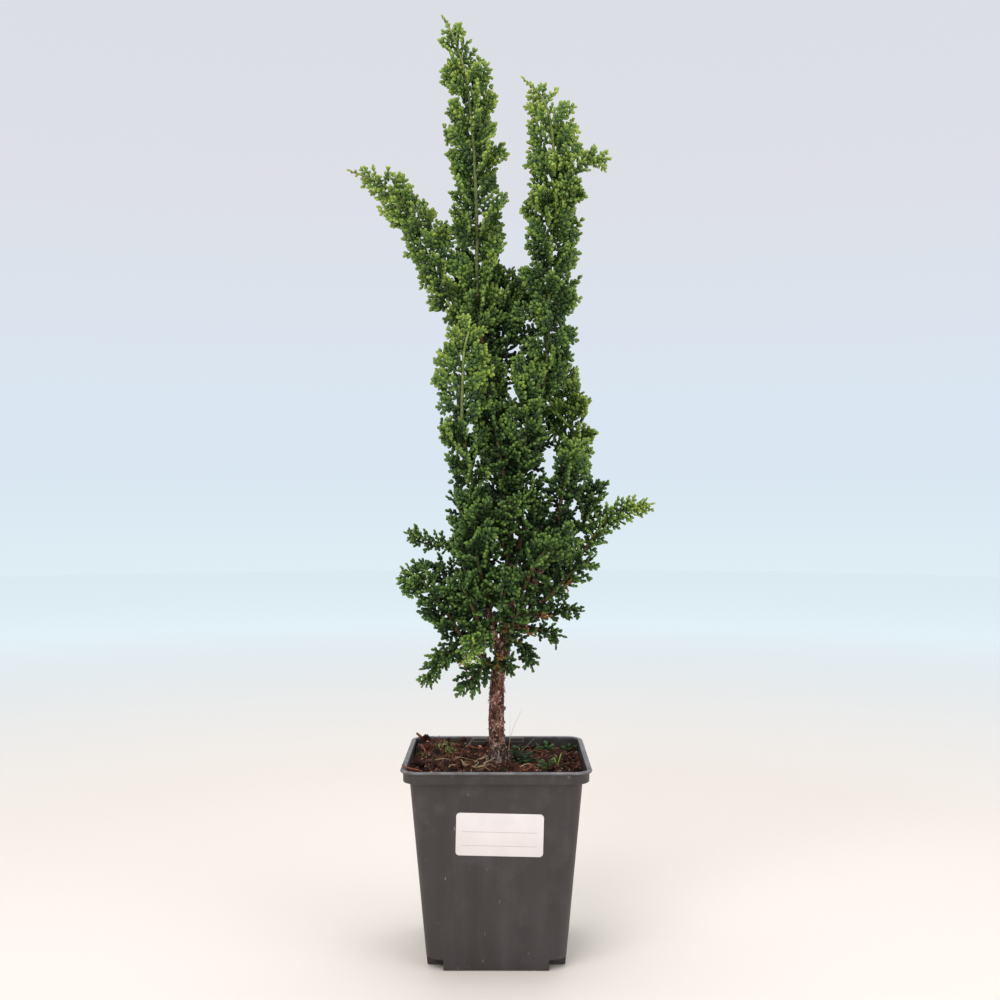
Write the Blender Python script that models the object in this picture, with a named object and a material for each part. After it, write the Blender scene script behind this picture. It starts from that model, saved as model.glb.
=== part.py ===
"""Hinoki cypress bonsai in a square nursery pot.

Metres, +Z up. The origin is the middle of the pot's underside, and the pot's
labelled front faces -Y. The tree is one wooden piece (trunk, limbs, twigs) and a
leafy solid for each green branch: many lobed fans fused to a slim stem.
"""
import math
import random
from dataclasses import dataclass

import bpy
import bmesh
from mathutils import Matrix, Vector
from mathutils.bvhtree import BVHTree

MM = 0.001
SEED = 11
GAP = 0.3 * MM                 # air kept between touching pieces

# Pot: half widths are from the middle to the outside of a wall.
POT_HEIGHT = 117 * MM
WALL = 1.2 * MM
HALF_BOTTOM = 40.3 * MM
HALF_UNDER_BAND = 49.8 * MM
HALF_BAND = 53.3 * MM
HALF_LIP = 55.0 * MM
BAND_HEIGHT = 7.2 * MM
LIP_THICKNESS = 1.6 * MM
CORNER_RADIUS = 9.0 * MM
CORNER_STEPS = 4
NOTCH_REACH = 30.5 * MM        # from the middle to where a raised corner starts
NOTCH_HEIGHT = 6.3 * MM
DRAIN_RADIUS = 3.4 * MM
DRAIN_PLACE = 34.6 * MM        # from the middle, along X and along Y

# Label on the front wall.
LABEL_WIDTH = 50 * MM
LABEL_HEIGHT = 25 * MM
LABEL_THICKNESS = 0.4 * MM
LABEL_CORNER = 2.2 * MM
LABEL_MIDDLE = (2.0 * MM, 80.0 * MM)
LABEL_TURN = math.radians(1.3)

# Soil.
SOIL_LEVEL = 108.5 * MM
SOIL_BUMP = 1.6 * MM
SOIL_MOUND = 5.0 * MM
SOIL_MOUND_PLACE = (-40 * MM, 36 * MM)
SOIL_MOUND_REACH = 16 * MM
SOIL_CELLS = 12
TRUNK_DEPTH = 24 * MM          # how far the trunk stands in the soil

# Wood: a route in millimetres and the wood's radius at its start and end.
TRUNK_SIDES = 7
LIMB_SIDES = 5
TWIG_SIDES = 4
TWIG_RADIUS = 1.0 * MM
RING_STEP = 17 * MM


@dataclass(frozen=True)
class Limb:
    """A length of wood: its route in millimetres, thick at the start."""

    route: tuple
    start_radius: float
    end_radius: float


TRUNK = Limb(
    route=((1, 0, 109), (0, 0, 128), (0, 0, 149), (1, 0, 167), (5, 1, 184), (8, 2, 210), (8, 2, 240),
           (6, 2, 271), (3, 2, 301), (-2, 2, 332), (-7, 0, 356), (-9, 0, 371)),
    start_radius=4.6 * MM, end_radius=1.1 * MM)
TRUNK_FLARE = 1.9 * MM         # added to the radius at the soil
TRUNK_FLARE_REACH = 7 * MM
LIMBS = (
    Limb(((2, -1, 177), (-4, -6, 197), (-5, -8, 217), (-6, -10, 241), (-9, -14, 264)),
         2.6 * MM, 1.3 * MM),
    Limb(((6, 2, 186), (18, 10, 210), (30, 14, 232), (41, 16, 250), (44, 17, 268)),
         2.8 * MM, 1.3 * MM),
    Limb(((7, 2, 259), (14, -1, 284), (21, -3, 310), (26, -4, 330)), 2.0 * MM, 1.2 * MM),
    Limb(((-5, 0, 348), (-12, 4, 362), (-19, 6, 373)), 1.6 * MM, 1.2 * MM),
    Limb(((1, 0, 166), (-10, -4, 177), (-18, -6, 184)), 2.0 * MM, 1.1 * MM),
)


@dataclass(frozen=True)
class Plume:
    """A leafy branch: its widest radius and its stem's route, in millimetres."""

    name: str
    radius: float
    route: tuple
    full_until: float = 0.55       # share of its length before it tapers to the tip
    at_base: float = 0.35          # share of its radius where it starts
    host: str = ""                 # the branch that it grows from, or else the wood


PLUMES = (
    Plume("leader", 19.5, ((-10, 0, 373), (-12, 0, 400), (-12, 0, 430), (-13, 0, 466), (-15, 0, 499), (-19, 0, 529),
                           (-25, 0, 550), (-31, 0, 562)), 0.45, 0.6),
    Plume("left_arm", 16.5, ((-20, 6, 376), (-30, 8, 401), (-42, 8, 430), (-56, 6, 452),
                             (-71, 4, 465), (-87, 2, 471)), 0.4, 0.7),
    Plume("right_spire", 19.5, ((27, -4, 331), (31, -4, 365), (32, -2, 401), (34, 0, 438),
                                (35, 0, 472), (33, 0, 500), (27, 0, 517), (19, 0, 525)), 0.42, 0.75),
    Plume("right_hook", 7, ((34, 0, 440), (41, -13, 451), (45, -15, 464), (54, -13, 475),
                            (64, -11, 475)), 0.75, 0.2, "right_spire"),
    Plume("front_spire", 17.5, ((-10, -16, 266), (-16, -22, 290), (-20, -24, 315), (-20, -24, 339),
                                (-19, -24, 359), (-16, -24, 371)), 0.55, 0.5),
    Plume("bridge", 15, ((0, 6, 341), (3, 8, 363), (5, 8, 383), (9, 8, 399)), 0.65, 0.6),
    Plume("heart_left", 14, ((6, -8, 276), (2, -16, 298), (-1, -14, 322), (-2, -10, 344)), 0.65, 0.5),
    Plume("heart_right", 15.5, ((11, -8, 279), (16, -14, 298), (18, -18, 323), (18, -18, 347)),
          0.65, 0.6),
    Plume("heart_low", 13, ((12, -6, 240), (17, -16, 254), (21, -18, 270), (22, -18, 283)), 0.6, 0.5),
    Plume("back_spire", 15, ((44, 18, 271), (47, 20, 295), (47, 20, 318), (44, 18, 336),
                             (41, 16, 349)), 0.5, 0.6),
    Plume("blue_clump", 13.5, ((37, -8, 258), (39, -18, 274), (43, -24, 288), (46, -26, 300)), 0.6),
    Plume("right_shoulder", 12.5, ((39, 8, 241), (53, 4, 257), (57, 2, 269), (60, 0, 279)), 0.55, 0.5),
    Plume("right_sprig", 8, ((49, -6, 235), (59, -10, 250), (67, -10, 260), (78, -10, 266),
                             (91, -10, 268)), 0.5, 0.5),
    Plume("right_pad", 13, ((16, -14, 218), (22, -28, 232), (30, -36, 243), (40, -38, 249)), 0.6),
    Plume("right_pad_low", 11, ((29, -6, 210), (38, -16, 221), (47, -22, 230), (56, -24, 236)), 0.6),
    Plume("left_flank", 16.5, ((-3, -12, 207), (-10, -24, 230), (-13, -26, 252), (-15, -30, 270)),
          0.65, 0.5),
    Plume("left_flank_back", 12, ((-6, 2, 234), (-18, 4, 249), (-23, 6, 268), (-24, 8, 284)), 0.65),
    Plume("front_fan", 11, ((4, -12, 200), (3, -26, 214), (4, -34, 226)), 0.6),
    Plume("front_twig", 8, ((7, -8, 235), (3, -18, 249), (7, -28, 263), (16, -32, 271)), 0.5),
    Plume("left_sprig", 6.5, ((-17, 4, 234), (-27, 6, 243), (-41, 8, 246), (-53, 8, 250)), 0.7),
    Plume("left_bough", 15, ((-20, -6, 186), (-30, -12, 204), (-42, -14, 220), (-54, -14, 229)),
          0.55, 0.6),
    Plume("left_bough_in", 11, ((-14, -4, 188), (-21, -4, 207), (-28, -2, 221), (-37, 0, 231)),
          0.6, 0.5),
    Plume("left_tail", 6.5, ((-23, 0, 178), (-31, 0, 177), (-38, -2, 171), (-42, -4, 161)), 0.7, 0.6),
    Plume("bright_tail", 8, ((-6, -16, 190), (-11, -26, 190), (-14, -32, 186), (-15, -36, 180)), 0.6),
    Plume("low_clump", 10, ((-4, -6, 173), (-9, -12, 170), (-14, -14, 166), (-17, -14, 160)), 0.6),
    Plume("trunk_tuft", 5, ((6, -7, 174), (7, -12, 173), (8, -16, 169)), 0.6),
    Plume("right_drop", 6, ((13, 2, 185), (17, 4, 181), (20, 6, 175), (21, 8, 169)), 0.6, 0.6),
    Plume("right_low", 7, ((19, 6, 201), (30, 8, 202), (40, 10, 204), (50, 10, 202)), 0.7, 0.6),
    Plume("right_low_tip", 6.5, ((22, 2, 193), (30, 4, 191), (36, 4, 189), (36, 4, 184)), 0.7, 0.6),
    Plume("right_low_back", 13, ((14, 10, 192), (22, 18, 206), (31, 22, 218), (37, 24, 229)), 0.65),
    Plume("front_low", 10, ((7, -8, 187), (9, -18, 196), (13, -24, 205), (17, -28, 210)), 0.6),
    Plume("left_low", 10.5, ((-9, -12, 191), (-12, -19, 202), (-17, -24, 213), (-20, -28, 221)), 0.6),
    Plume("back_low_left", 13, ((-2, 10, 194), (-9, 24, 208), (-14, 32, 225), (-17, 36, 242)), 0.65),
    Plume("back_low_right", 14.5, ((11, 12, 209), (20, 28, 227), (26, 36, 245), (29, 38, 262)), 0.65),
    Plume("back_mid", 14.5, ((4, 12, 246), (2, 26, 268), (2, 34, 293), (5, 36, 313)), 0.65),
    Plume("back_mid_right", 13, ((11, 12, 283), (22, 22, 302), (27, 26, 324), (26, 26, 341)), 0.65),
    Plume("back_high", 13, ((-3, 12, 320), (-7, 20, 343), (-8, 22, 368), (-5, 20, 385)), 0.65),
)

# Foliage: a slim core whose surface is a lattice of diamonds, each drawn out into a fan.
CORE_SHARE = 0.36              # of the branch's leafy radius
CORE_END_RADIUS = 0.9 * MM
ROUTE_STEP = 5 * MM
ROOM_MARGIN = 1.0 * MM
SLIM_BRANCH = 11.5             # below this radius a branch has fewer fans around it
SLIM_FANS, FULL_FANS = 3, 4    # fans around the stem at one height
SLIM_SPACING = (0.42, 2.6)     # ring spacing in mm: share of the radius, plus a length
FULL_SPACING = (0.42, 5.0)
FAN_LEAN = math.radians(40)    # from square to the stem, towards its tip
FAN_LEAN_FROM = 0.25           # share of the stem's length by which fans lean fully
FAN_LOBES = ((100, 0.38), (33, 0.45), (-33, 0.45), (-100, 0.38))  # degrees, reach
FAN_MIDDLE = 0.55              # of its length, from its root
FAN_NOTCH = 0.29               # of its length, from its middle to between two lobes
FAN_WIDTH = 1.2
FAN_THICKNESS = 0.18           # of its length, at the middle
FAN_CUP = 0.3
FAN_MIN_LENGTH = 4.5 * MM
FAN_SIZES = (1.0, 0.82, 0.66)  # tried in turn where something is in the way
FAN_ROLLS = (0.0, 0.45, -0.45)


def clear_scene() -> None:
    """Remove whatever the file opened with."""
    for item in list(bpy.data.objects):
        bpy.data.objects.remove(item, do_unlink=True)


def material(name: str, colour: tuple, roughness: float, metallic: float = 0.0):
    """Return a Principled material of one colour."""
    finish = bpy.data.materials.new(name)
    finish.use_nodes = True
    finish.diffuse_color = (*colour, 1.0)
    shader = finish.node_tree.nodes["Principled BSDF"]
    shader.inputs["Base Color"].default_value = (*colour, 1.0)
    shader.inputs["Roughness"].default_value = roughness
    shader.inputs["Metallic"].default_value = metallic
    return finish


def make_object(name: str, bm: bmesh.types.BMesh, finish=None) -> bpy.types.Object:
    """Turn a bmesh into an object in the scene and free the bmesh."""
    bmesh.ops.recalc_face_normals(bm, faces=bm.faces)
    mesh = bpy.data.meshes.new(name)
    bm.to_mesh(mesh)
    bm.free()
    item = bpy.data.objects.new(name, mesh)
    bpy.context.scene.collection.objects.link(item)
    if finish is not None:
        mesh.materials.append(finish)
    return item


def apply_boolean(item, cutters: list, operation: str, solver: str = "EXACT") -> None:
    """Join or cut an object with others by one Boolean, apply it and drop the others."""
    group = bpy.data.collections.new(item.name + "_operands")
    bpy.context.scene.collection.children.link(group)
    for cutter in cutters:
        group.objects.link(cutter)
    boolean = item.modifiers.new("boolean", "BOOLEAN")
    boolean.operation = operation
    boolean.operand_type = "COLLECTION"
    boolean.collection = group
    boolean.solver = solver
    depsgraph = bpy.context.evaluated_depsgraph_get()
    result = bpy.data.meshes.new_from_object(item.evaluated_get(depsgraph))
    item.modifiers.clear()
    item.data = result
    for cutter in cutters:
        bpy.data.objects.remove(cutter, do_unlink=True)
    bpy.data.collections.remove(group)


# Pot, label and soil


def rounded_square(half: float, radius: float, z: float) -> list:
    """Return the points of a square with round corners, anticlockwise from +X."""
    points = []
    for quarter in range(4):
        turn = quarter * math.pi / 2
        for step in range(CORNER_STEPS + 1):
            angle = turn + step * math.pi / 2 / CORNER_STEPS
            middle = Vector((half - radius, half - radius, 0))
            middle.rotate(Matrix.Rotation(turn, 3, "Z"))
            points.append(middle + Vector((radius * math.cos(angle), radius * math.sin(angle), z)))
    return points


def loft(rings: list) -> bmesh.types.BMesh:
    """Return the closed solid through rings of points, bottom ring first."""
    bm = bmesh.new()
    rows = [[bm.verts.new(point) for point in ring] for ring in rings]
    for low, high in zip(rows, rows[1:]):
        for i in range(len(low)):
            j = (i + 1) % len(low)
            bm.faces.new((low[i], low[j], high[j], high[i]))
    bm.faces.new(rows[0][::-1])
    bm.faces.new(rows[-1])
    return bm


def wall_half(z: float) -> float:
    """Return the outer half width of the pot's plain wall at a height."""
    share = z / (POT_HEIGHT - BAND_HEIGHT)
    return HALF_BOTTOM + (HALF_UNDER_BAND - HALF_BOTTOM) * share


def corner_block(name: str, start: float, top: float, side_x: int, side_y: int):
    """Return a block that fills one corner from start outwards, up to top."""
    reach = HALF_LIP
    bm = bmesh.new()
    bmesh.ops.create_cube(bm, size=1.0)
    bmesh.ops.scale(bm, vec=(reach, reach, top + reach), verts=bm.verts)
    middle = start + reach / 2
    bmesh.ops.translate(bm, vec=(side_x * middle, side_y * middle, (top - reach) / 2), verts=bm.verts)
    return make_object(name, bm)


def corner_blocks(name: str, start: float, top: float) -> list:
    """Return the four corner blocks."""
    return [corner_block(name, start, top, x, y) for x in (-1, 1) for y in (-1, 1)]


def pot_cavity(inset: float, name: str) -> bpy.types.Object:
    """Return the space inside the pot, drawn in by inset on every side."""
    under_band = POT_HEIGHT - BAND_HEIGHT
    step_end = under_band + WALL
    rings = [
        rounded_square(wall_half(WALL) - WALL - inset, CORNER_RADIUS - WALL, WALL + inset),
        rounded_square(HALF_UNDER_BAND - WALL - inset, CORNER_RADIUS - WALL, under_band),
        rounded_square(HALF_BAND - WALL - inset, CORNER_RADIUS - WALL, step_end + inset),
        rounded_square(HALF_BAND - WALL - inset, CORNER_RADIUS - WALL, POT_HEIGHT + 20 * MM),
    ]
    cavity = make_object(name, loft(rings))
    blocks = corner_blocks(name, NOTCH_REACH - WALL - inset, NOTCH_HEIGHT + WALL + inset)
    apply_boolean(cavity, blocks, "DIFFERENCE")
    return cavity


def drain_cutters() -> list:
    """Return the cutters of the drain holes in the raised corners."""
    cutters = []
    for side_x in (-1, 1):
        for side_y in (-1, 1):
            bm = bmesh.new()
            bmesh.ops.create_cone(bm, cap_ends=True, segments=10, radius1=DRAIN_RADIUS,
                                  radius2=DRAIN_RADIUS, depth=6 * WALL)
            place = (side_x * DRAIN_PLACE, side_y * DRAIN_PLACE, NOTCH_HEIGHT + WALL / 2)
            bmesh.ops.translate(bm, vec=place, verts=bm.verts)
            cutters.append(make_object("drain_cutter", bm))
    return cutters


def make_pot() -> bpy.types.Object:
    """Build the pot: a tapered square shell with a band, a lip and raised corners."""
    under_band = POT_HEIGHT - BAND_HEIGHT
    under_lip = POT_HEIGHT - LIP_THICKNESS
    rings = [
        rounded_square(HALF_BOTTOM, CORNER_RADIUS, 0),
        rounded_square(HALF_UNDER_BAND, CORNER_RADIUS, under_band),
        rounded_square(HALF_BAND, CORNER_RADIUS, under_band + 0.4 * MM),
        rounded_square(HALF_BAND, CORNER_RADIUS, under_lip),
        rounded_square(HALF_LIP, CORNER_RADIUS + HALF_LIP - HALF_BAND, under_lip + 0.3 * MM),
        rounded_square(HALF_LIP, CORNER_RADIUS + HALF_LIP - HALF_BAND, POT_HEIGHT - 0.4 * MM),
        rounded_square(HALF_LIP - 0.4 * MM, CORNER_RADIUS, POT_HEIGHT),
    ]
    pot = make_object("pot", loft(rings), material("grey_plastic", (0.06, 0.06, 0.065), 0.55))
    cutters = corner_blocks("notch_cutter", NOTCH_REACH, NOTCH_HEIGHT)
    cutters.append(pot_cavity(0.0, "cavity_cutter"))
    apply_boolean(pot, cutters, "DIFFERENCE")
    apply_boolean(pot, drain_cutters(), "DIFFERENCE")
    pot.data.set_sharp_from_angle(angle=math.radians(35))
    return pot


def make_label() -> bpy.types.Object:
    """Build the blank sticker, lying against the leaning front wall."""
    outline = rounded_square(LABEL_HEIGHT / 2, LABEL_CORNER, 0)
    stretch = (LABEL_WIDTH - LABEL_HEIGHT) / 2
    for point in outline:
        point.x += math.copysign(stretch, point.x)
    top = [point + Vector((0, 0, LABEL_THICKNESS)) for point in outline]
    bm = loft([outline, top])
    lean = math.atan2(HALF_UNDER_BAND - HALF_BOTTOM, POT_HEIGHT - BAND_HEIGHT)
    x, z = LABEL_MIDDLE
    place = Matrix.Translation((x, -wall_half(z) - GAP, z))
    stand = Matrix.Rotation(math.pi / 2 + lean, 4, "X")
    turn = Matrix.Rotation(-LABEL_TURN, 4, "Z")
    bmesh.ops.transform(bm, matrix=place @ stand @ turn, verts=bm.verts)
    return make_object("label", bm, material("white_paper", (0.85, 0.85, 0.85), 0.5))


def soil_height(x: float, y: float) -> float:
    """Return the height of the soil's uneven top at a place."""
    waves = math.sin(x / (7 * MM) + 0.6) * math.cos(y / (9 * MM) - 0.4)
    ripples = math.sin(x / (3.1 * MM) - y / (4.3 * MM)) * 0.5
    mound_x, mound_y = SOIL_MOUND_PLACE
    away = math.hypot(x - mound_x, y - mound_y) / SOIL_MOUND_REACH
    return SOIL_LEVEL + SOIL_BUMP * (waves + ripples) / 1.5 + SOIL_MOUND * math.exp(-away * away)


def make_soil() -> bpy.types.Object:
    """Build the root ball: the pot's inside, cut by an uneven top, with the trunk's hole."""
    bm = bmesh.new()
    bmesh.ops.create_grid(bm, x_segments=SOIL_CELLS, y_segments=SOIL_CELLS, size=HALF_BAND)
    floor = bmesh.ops.extrude_face_region(bm, geom=bm.faces[:])
    lower = {item for item in floor["geom"] if isinstance(item, bmesh.types.BMVert)}
    for vert in bm.verts:
        vert.co.z = -5 * MM if vert in lower else soil_height(vert.co.x, vert.co.y)
    ground = make_object("soil", bm, material("peat", (0.05, 0.025, 0.015), 0.95))
    hole = make_object("trunk_hole", loft(trunk_rings(GAP, SOIL_LEVEL + 12 * MM, TRUNK_SIDES)))
    apply_boolean(ground, [hole], "DIFFERENCE")
    apply_boolean(ground, [pot_cavity(GAP, "soil_limit")], "INTERSECT")
    return ground


# Routes and tubes


def smooth_route(points: list, step: float) -> list:
    """Return evenly numbered points on a smooth curve through the given ones."""
    ends = [points[0] * 2 - points[1]] + points + [points[-1] * 2 - points[-2]]
    length = sum((b - a).length for a, b in zip(points, points[1:]))
    count = max(2, round(length / step))
    route = []
    for i in range(count + 1):
        place = i / count * (len(points) - 1)
        part = min(int(place), len(points) - 2)
        t = place - part
        a, b, c, d = ends[part:part + 4]
        route.append(0.5 * ((2 * b) + (c - a) * t + (2 * a - 5 * b + 4 * c - d) * t * t
                            + (3 * b - a - 3 * c + d) * t ** 3))
    return route


def directions(route: list) -> list:
    """Return the direction of travel at each point of a route."""
    found = []
    for i in range(len(route)):
        ahead = route[min(i + 1, len(route) - 1)]
        behind = route[max(i - 1, 0)]
        found.append((ahead - behind).normalized())
    return found


def side_vectors(direction: Vector) -> tuple:
    """Return two vectors square to a direction and to each other."""
    helper = Vector((0, 1, 0)) if abs(direction.y) < 0.8 else Vector((1, 0, 0))
    side = direction.cross(helper).normalized()
    return side, side.cross(direction).normalized()


def ring(middle: Vector, direction: Vector, radius: float, sides: int) -> list:
    """Return a circle of points square to a direction."""
    u, v = side_vectors(direction)
    angles = [2 * math.pi * i / sides for i in range(sides)]
    return [middle + radius * (u * math.cos(a) + v * math.sin(a)) for a in angles]


def to_metres(route: tuple) -> list:
    """Return a route given in millimetres as vectors in metres."""
    return [Vector(point) * MM for point in route]


def limb_rings(limb: Limb, sides: int) -> list:
    """Return a limb's rings, thinning evenly to its end."""
    route = smooth_route(to_metres(limb.route), RING_STEP)
    ways = directions(route)
    rings = []
    for i, (point, way) in enumerate(zip(route, ways)):
        share = i / (len(route) - 1)
        radius = limb.start_radius + (limb.end_radius - limb.start_radius) * share
        rings.append(ring(point, way, radius, sides))
    return rings


def trunk_radius(z: float) -> float:
    """Return the trunk's radius at a height, flared where it enters the soil."""
    low, high = TRUNK.route[0][2] * MM, TRUNK.route[-1][2] * MM
    share = min(max((z - low) / (high - low), 0.0), 1.0)
    plain = TRUNK.start_radius + (TRUNK.end_radius - TRUNK.start_radius) * share
    return plain + TRUNK_FLARE * math.exp(-max(z - low, 0.0) / TRUNK_FLARE_REACH)


def trunk_rings(clearance: float, top: float, sides: int) -> list:
    """Return the rings of the trunk's foot, from its end in the soil up to top."""
    foot = Vector(TRUNK.route[0]) * MM
    levels = [foot.z - TRUNK_DEPTH - clearance, foot.z, foot.z + 4 * MM, top]
    return [ring(Vector((foot.x, foot.y, z)), Vector((0, 0, 1)), trunk_radius(z) + clearance, sides)
            for z in levels]


def twig_roots() -> list:
    """Return the places on the wood's middle lines that a twig may grow from."""
    places = []
    for limb in (TRUNK, *LIMBS):
        route = smooth_route(to_metres(limb.route), 2 * MM)
        places += route[:-2]
    return places


def twig_way(plume: Plume, places: list) -> tuple:
    """Return a branch's twig: where it leaves the wood, and its direction."""
    base, after = [Vector(point) * MM for point in plume.route[:2]]
    if plume.host:
        return base, (after - base).normalized()
    root = min(places, key=lambda place: (place - base).length)
    return root, (base - root).normalized()


def make_wood(places: list) -> bpy.types.Object:
    """Build the trunk with its limbs and the twigs that carry the branches."""
    rings = trunk_rings(0.0, TRUNK.route[0][2] * MM + 4 * MM, TRUNK_SIDES)
    route = smooth_route(to_metres(TRUNK.route), RING_STEP)
    rings += [ring(point, way, trunk_radius(point.z), TRUNK_SIDES)
              for point, way in zip(route, directions(route)) if point.z > rings[-1][0].z + 5 * MM]
    wood = make_object("trunk", loft(rings), material("bark", (0.16, 0.07, 0.04), 0.9))
    branches = [make_object("limb", loft(limb_rings(limb, LIMB_SIDES))) for limb in LIMBS]
    for plume in [plume for plume in PLUMES if not plume.host]:
        root, way = twig_way(plume, places)
        end = Vector(plume.route[0]) * MM - way * 2 * GAP
        rings = [ring(place, way, TWIG_RADIUS, TWIG_SIDES) for place in (root, end)]
        branches.append(make_object("twig", loft(rings)))
    apply_boolean(wood, branches, "UNION")
    return wood


# Foliage


def leaf_radius(plume: Plume, share: float) -> float:
    """Return a branch's leafy radius at a share of its length."""
    start = min(share / 0.22, 1.0)
    rise = plume.at_base + (1 - plume.at_base) * start * start * (3 - 2 * start)
    fall = max((share - plume.full_until) / (1 - plume.full_until), 0.0)
    return plume.radius * MM * rise * (1 - 0.86 * fall ** 1.8)


@dataclass
class Stem:
    """A branch's stem: its points, directions, side vectors and the core's radii."""

    plume: Plume
    around: int
    route: list
    ways: list
    sides: list
    core: list


def stem_of(plume: Plume, first_way: Vector) -> Stem:
    """Work out a branch's stem before its neighbours are known."""
    slim = plume.radius < SLIM_BRANCH
    share, extra = SLIM_SPACING if slim else FULL_SPACING
    route = smooth_route(to_metres(plume.route), (share * plume.radius + extra) * MM)
    ways = directions(route)
    ways[0] = (ways[0] + 2 * first_way).normalized()
    sides = [side_vectors(ways[0])[0]]
    for way in ways[1:]:
        sides.append((sides[-1] - way * sides[-1].dot(way)).normalized())
    last = len(route) - 1
    core = [CORE_SHARE * leaf_radius(plume, i / last) for i in range(len(route))]
    core[0] = core[-1] = CORE_END_RADIUS
    return Stem(plume, SLIM_FANS if slim else FULL_FANS, route, ways, sides, core)


def distance_to_segment(point: Vector, start: Vector, end: Vector) -> tuple:
    """Return the distance from a point to a segment, and the share along it."""
    span = end - start
    t = min(max((point - start).dot(span) / span.length_squared, 0.0), 1.0)
    return (point - (start + span * t)).length, t


def wood_measures() -> list:
    """Return places on the wood's middle lines with the wood's radius there."""
    found = []
    for limb in (TRUNK, *LIMBS):
        route = smooth_route(to_metres(limb.route), ROUTE_STEP)
        for i, point in enumerate(route):
            share = i / (len(route) - 1)
            found.append((point, limb.start_radius + (limb.end_radius - limb.start_radius) * share))
    return found


def hosted(one: Plume, other: Plume) -> bool:
    """Return whether one of two branches grows from the other."""
    return one.host == other.name or other.host == one.name


def share_room(stems: list) -> None:
    """Slim each core where it would reach a neighbour's core or the wood."""
    wood = wood_measures()
    wanted = [list(stem.core) for stem in stems]
    for mine, stem in enumerate(stems):
        for i, point in enumerate(stem.route):
            rooms = [(point - place).length - radius - ROOM_MARGIN for place, radius in wood]
            for other, neighbour in enumerate(stems):
                if other == mine or hosted(stem.plume, neighbour.plume):
                    continue
                for j in range(len(neighbour.route) - 1):
                    away, t = distance_to_segment(point, neighbour.route[j], neighbour.route[j + 1])
                    reach = wanted[other][j] * (1 - t) + wanted[other][j + 1] * t
                    rooms.append((away - ROOM_MARGIN) * wanted[mine][i] / (wanted[mine][i] + reach))
            stem.core[i] = min(stem.core[i], max(min(rooms), CORE_END_RADIUS))


@dataclass
class Fan:
    """One leafy fan, drawn out of a diamond of the core's surface.

    The diamond's corners lie right, above, left and below; below may be missing.
    """

    owner: int
    base: list
    along: Vector
    up: Vector
    length: float
    draws: list
    size: float = 0.0              # 0 until it is placed
    roll: float = 0.0

    def outline(self, grow: float = 0.0) -> tuple:
        """Return the lobed rim, from the right round to the left, and the two peaks."""
        length = self.length * self.size
        across = self.up.cross(self.along).normalized()
        turn = Matrix((self.along, across, self.along.cross(across))).transposed()
        turn = turn @ Matrix.Rotation(self.roll, 3, "X")
        root = sum(self.base, Vector()) / len(self.base)
        middle = Vector((FAN_MIDDLE * length, 0, 0))
        rim = []
        for k, (angle, reach) in enumerate(FAN_LOBES):
            if k:
                between = math.radians((angle + FAN_LOBES[k - 1][0]) / 2)
                rim.append((between, FAN_NOTCH * length + grow))
            rim.append((math.radians(angle), reach * length * self.draws[k] + grow))
        points = []
        for angle, reach in rim:
            spread = Vector((math.cos(angle), math.sin(angle) * FAN_WIDTH, 0)) * reach
            lift = Vector((0, 0, FAN_CUP * reach * reach / length))
            points.append(root + turn @ (middle + spread + lift))
        peak = Vector((0, 0, FAN_THICKNESS * length / 2 + grow))
        return points, root + turn @ (middle + peak), root + turn @ (middle - peak)

    def faces(self, grow: float = 0.0, base: list = None) -> tuple:
        """Return the fan's points and triangles, open at its base."""
        rim, top, bottom = self.outline(grow)
        corners = list(base or self.base)
        points = corners + rim + [top, bottom]
        count, last = len(corners), len(corners) + len(rim) - 1
        peak, keel = last + 1, last + 2
        faces = [(i, i + 1, peak) for i in range(count, last)]
        faces += [(i + 1, i, keel) for i in range(count, last)]
        faces += [(0, count, peak), (0, peak, 1), (1, peak, 2), (2, peak, last)]
        faces += [(count, 0, keel), (2, last, keel)]
        lower = [0, 3, 2] if count == 4 else [0, 2]
        faces += [(b, keel, a) for a, b in zip(lower, lower[1:])]
        return points, faces

    def tree(self, grow: float = 0.0) -> BVHTree:
        """Return the search tree of the whole fan, swollen by grow."""
        return BVHTree.FromPolygons(*self.faces(grow))

    def outer_tree(self) -> BVHTree:
        """Return the search tree of the fan beyond its root."""
        rim, top, bottom = self.outline()
        root = sum(self.base, Vector()) / len(self.base)
        neck = [root.lerp(point, 0.45) for point in (rim[0], top, rim[-1], bottom)]
        return BVHTree.FromPolygons(*self.faces(base=neck))


def lattice_rows(stem: Stem) -> list:
    """Return the core's rings of points, each turned half a step from the last."""
    rows = []
    for k, (point, way, side, radius) in enumerate(zip(stem.route, stem.ways, stem.sides, stem.core)):
        other = way.cross(side)
        row = []
        for i in range(stem.around):
            angle = (k + 2 * i) * math.pi / stem.around
            row.append(point + radius * (side * math.cos(angle) + other * math.sin(angle)))
        rows.append(row)
    return rows


def diamonds(rows: list, around: int) -> list:
    """Return each diamond as the (row, place) of its right, upper, left and lower corner."""
    found = []
    for k in range(len(rows) - 2):
        for i in range(around):
            left = (i - 1) % around
            found.append(((k + 1, i), (k + 2, left), (k + 1, left), (k, i)))
    return found


def cap_corners(rows: list, around: int) -> tuple:
    """Return the corners of the core's end at its tip, from the right round."""
    last = len(rows) - 1
    return tuple((last, i) for i in range(around))


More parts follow.
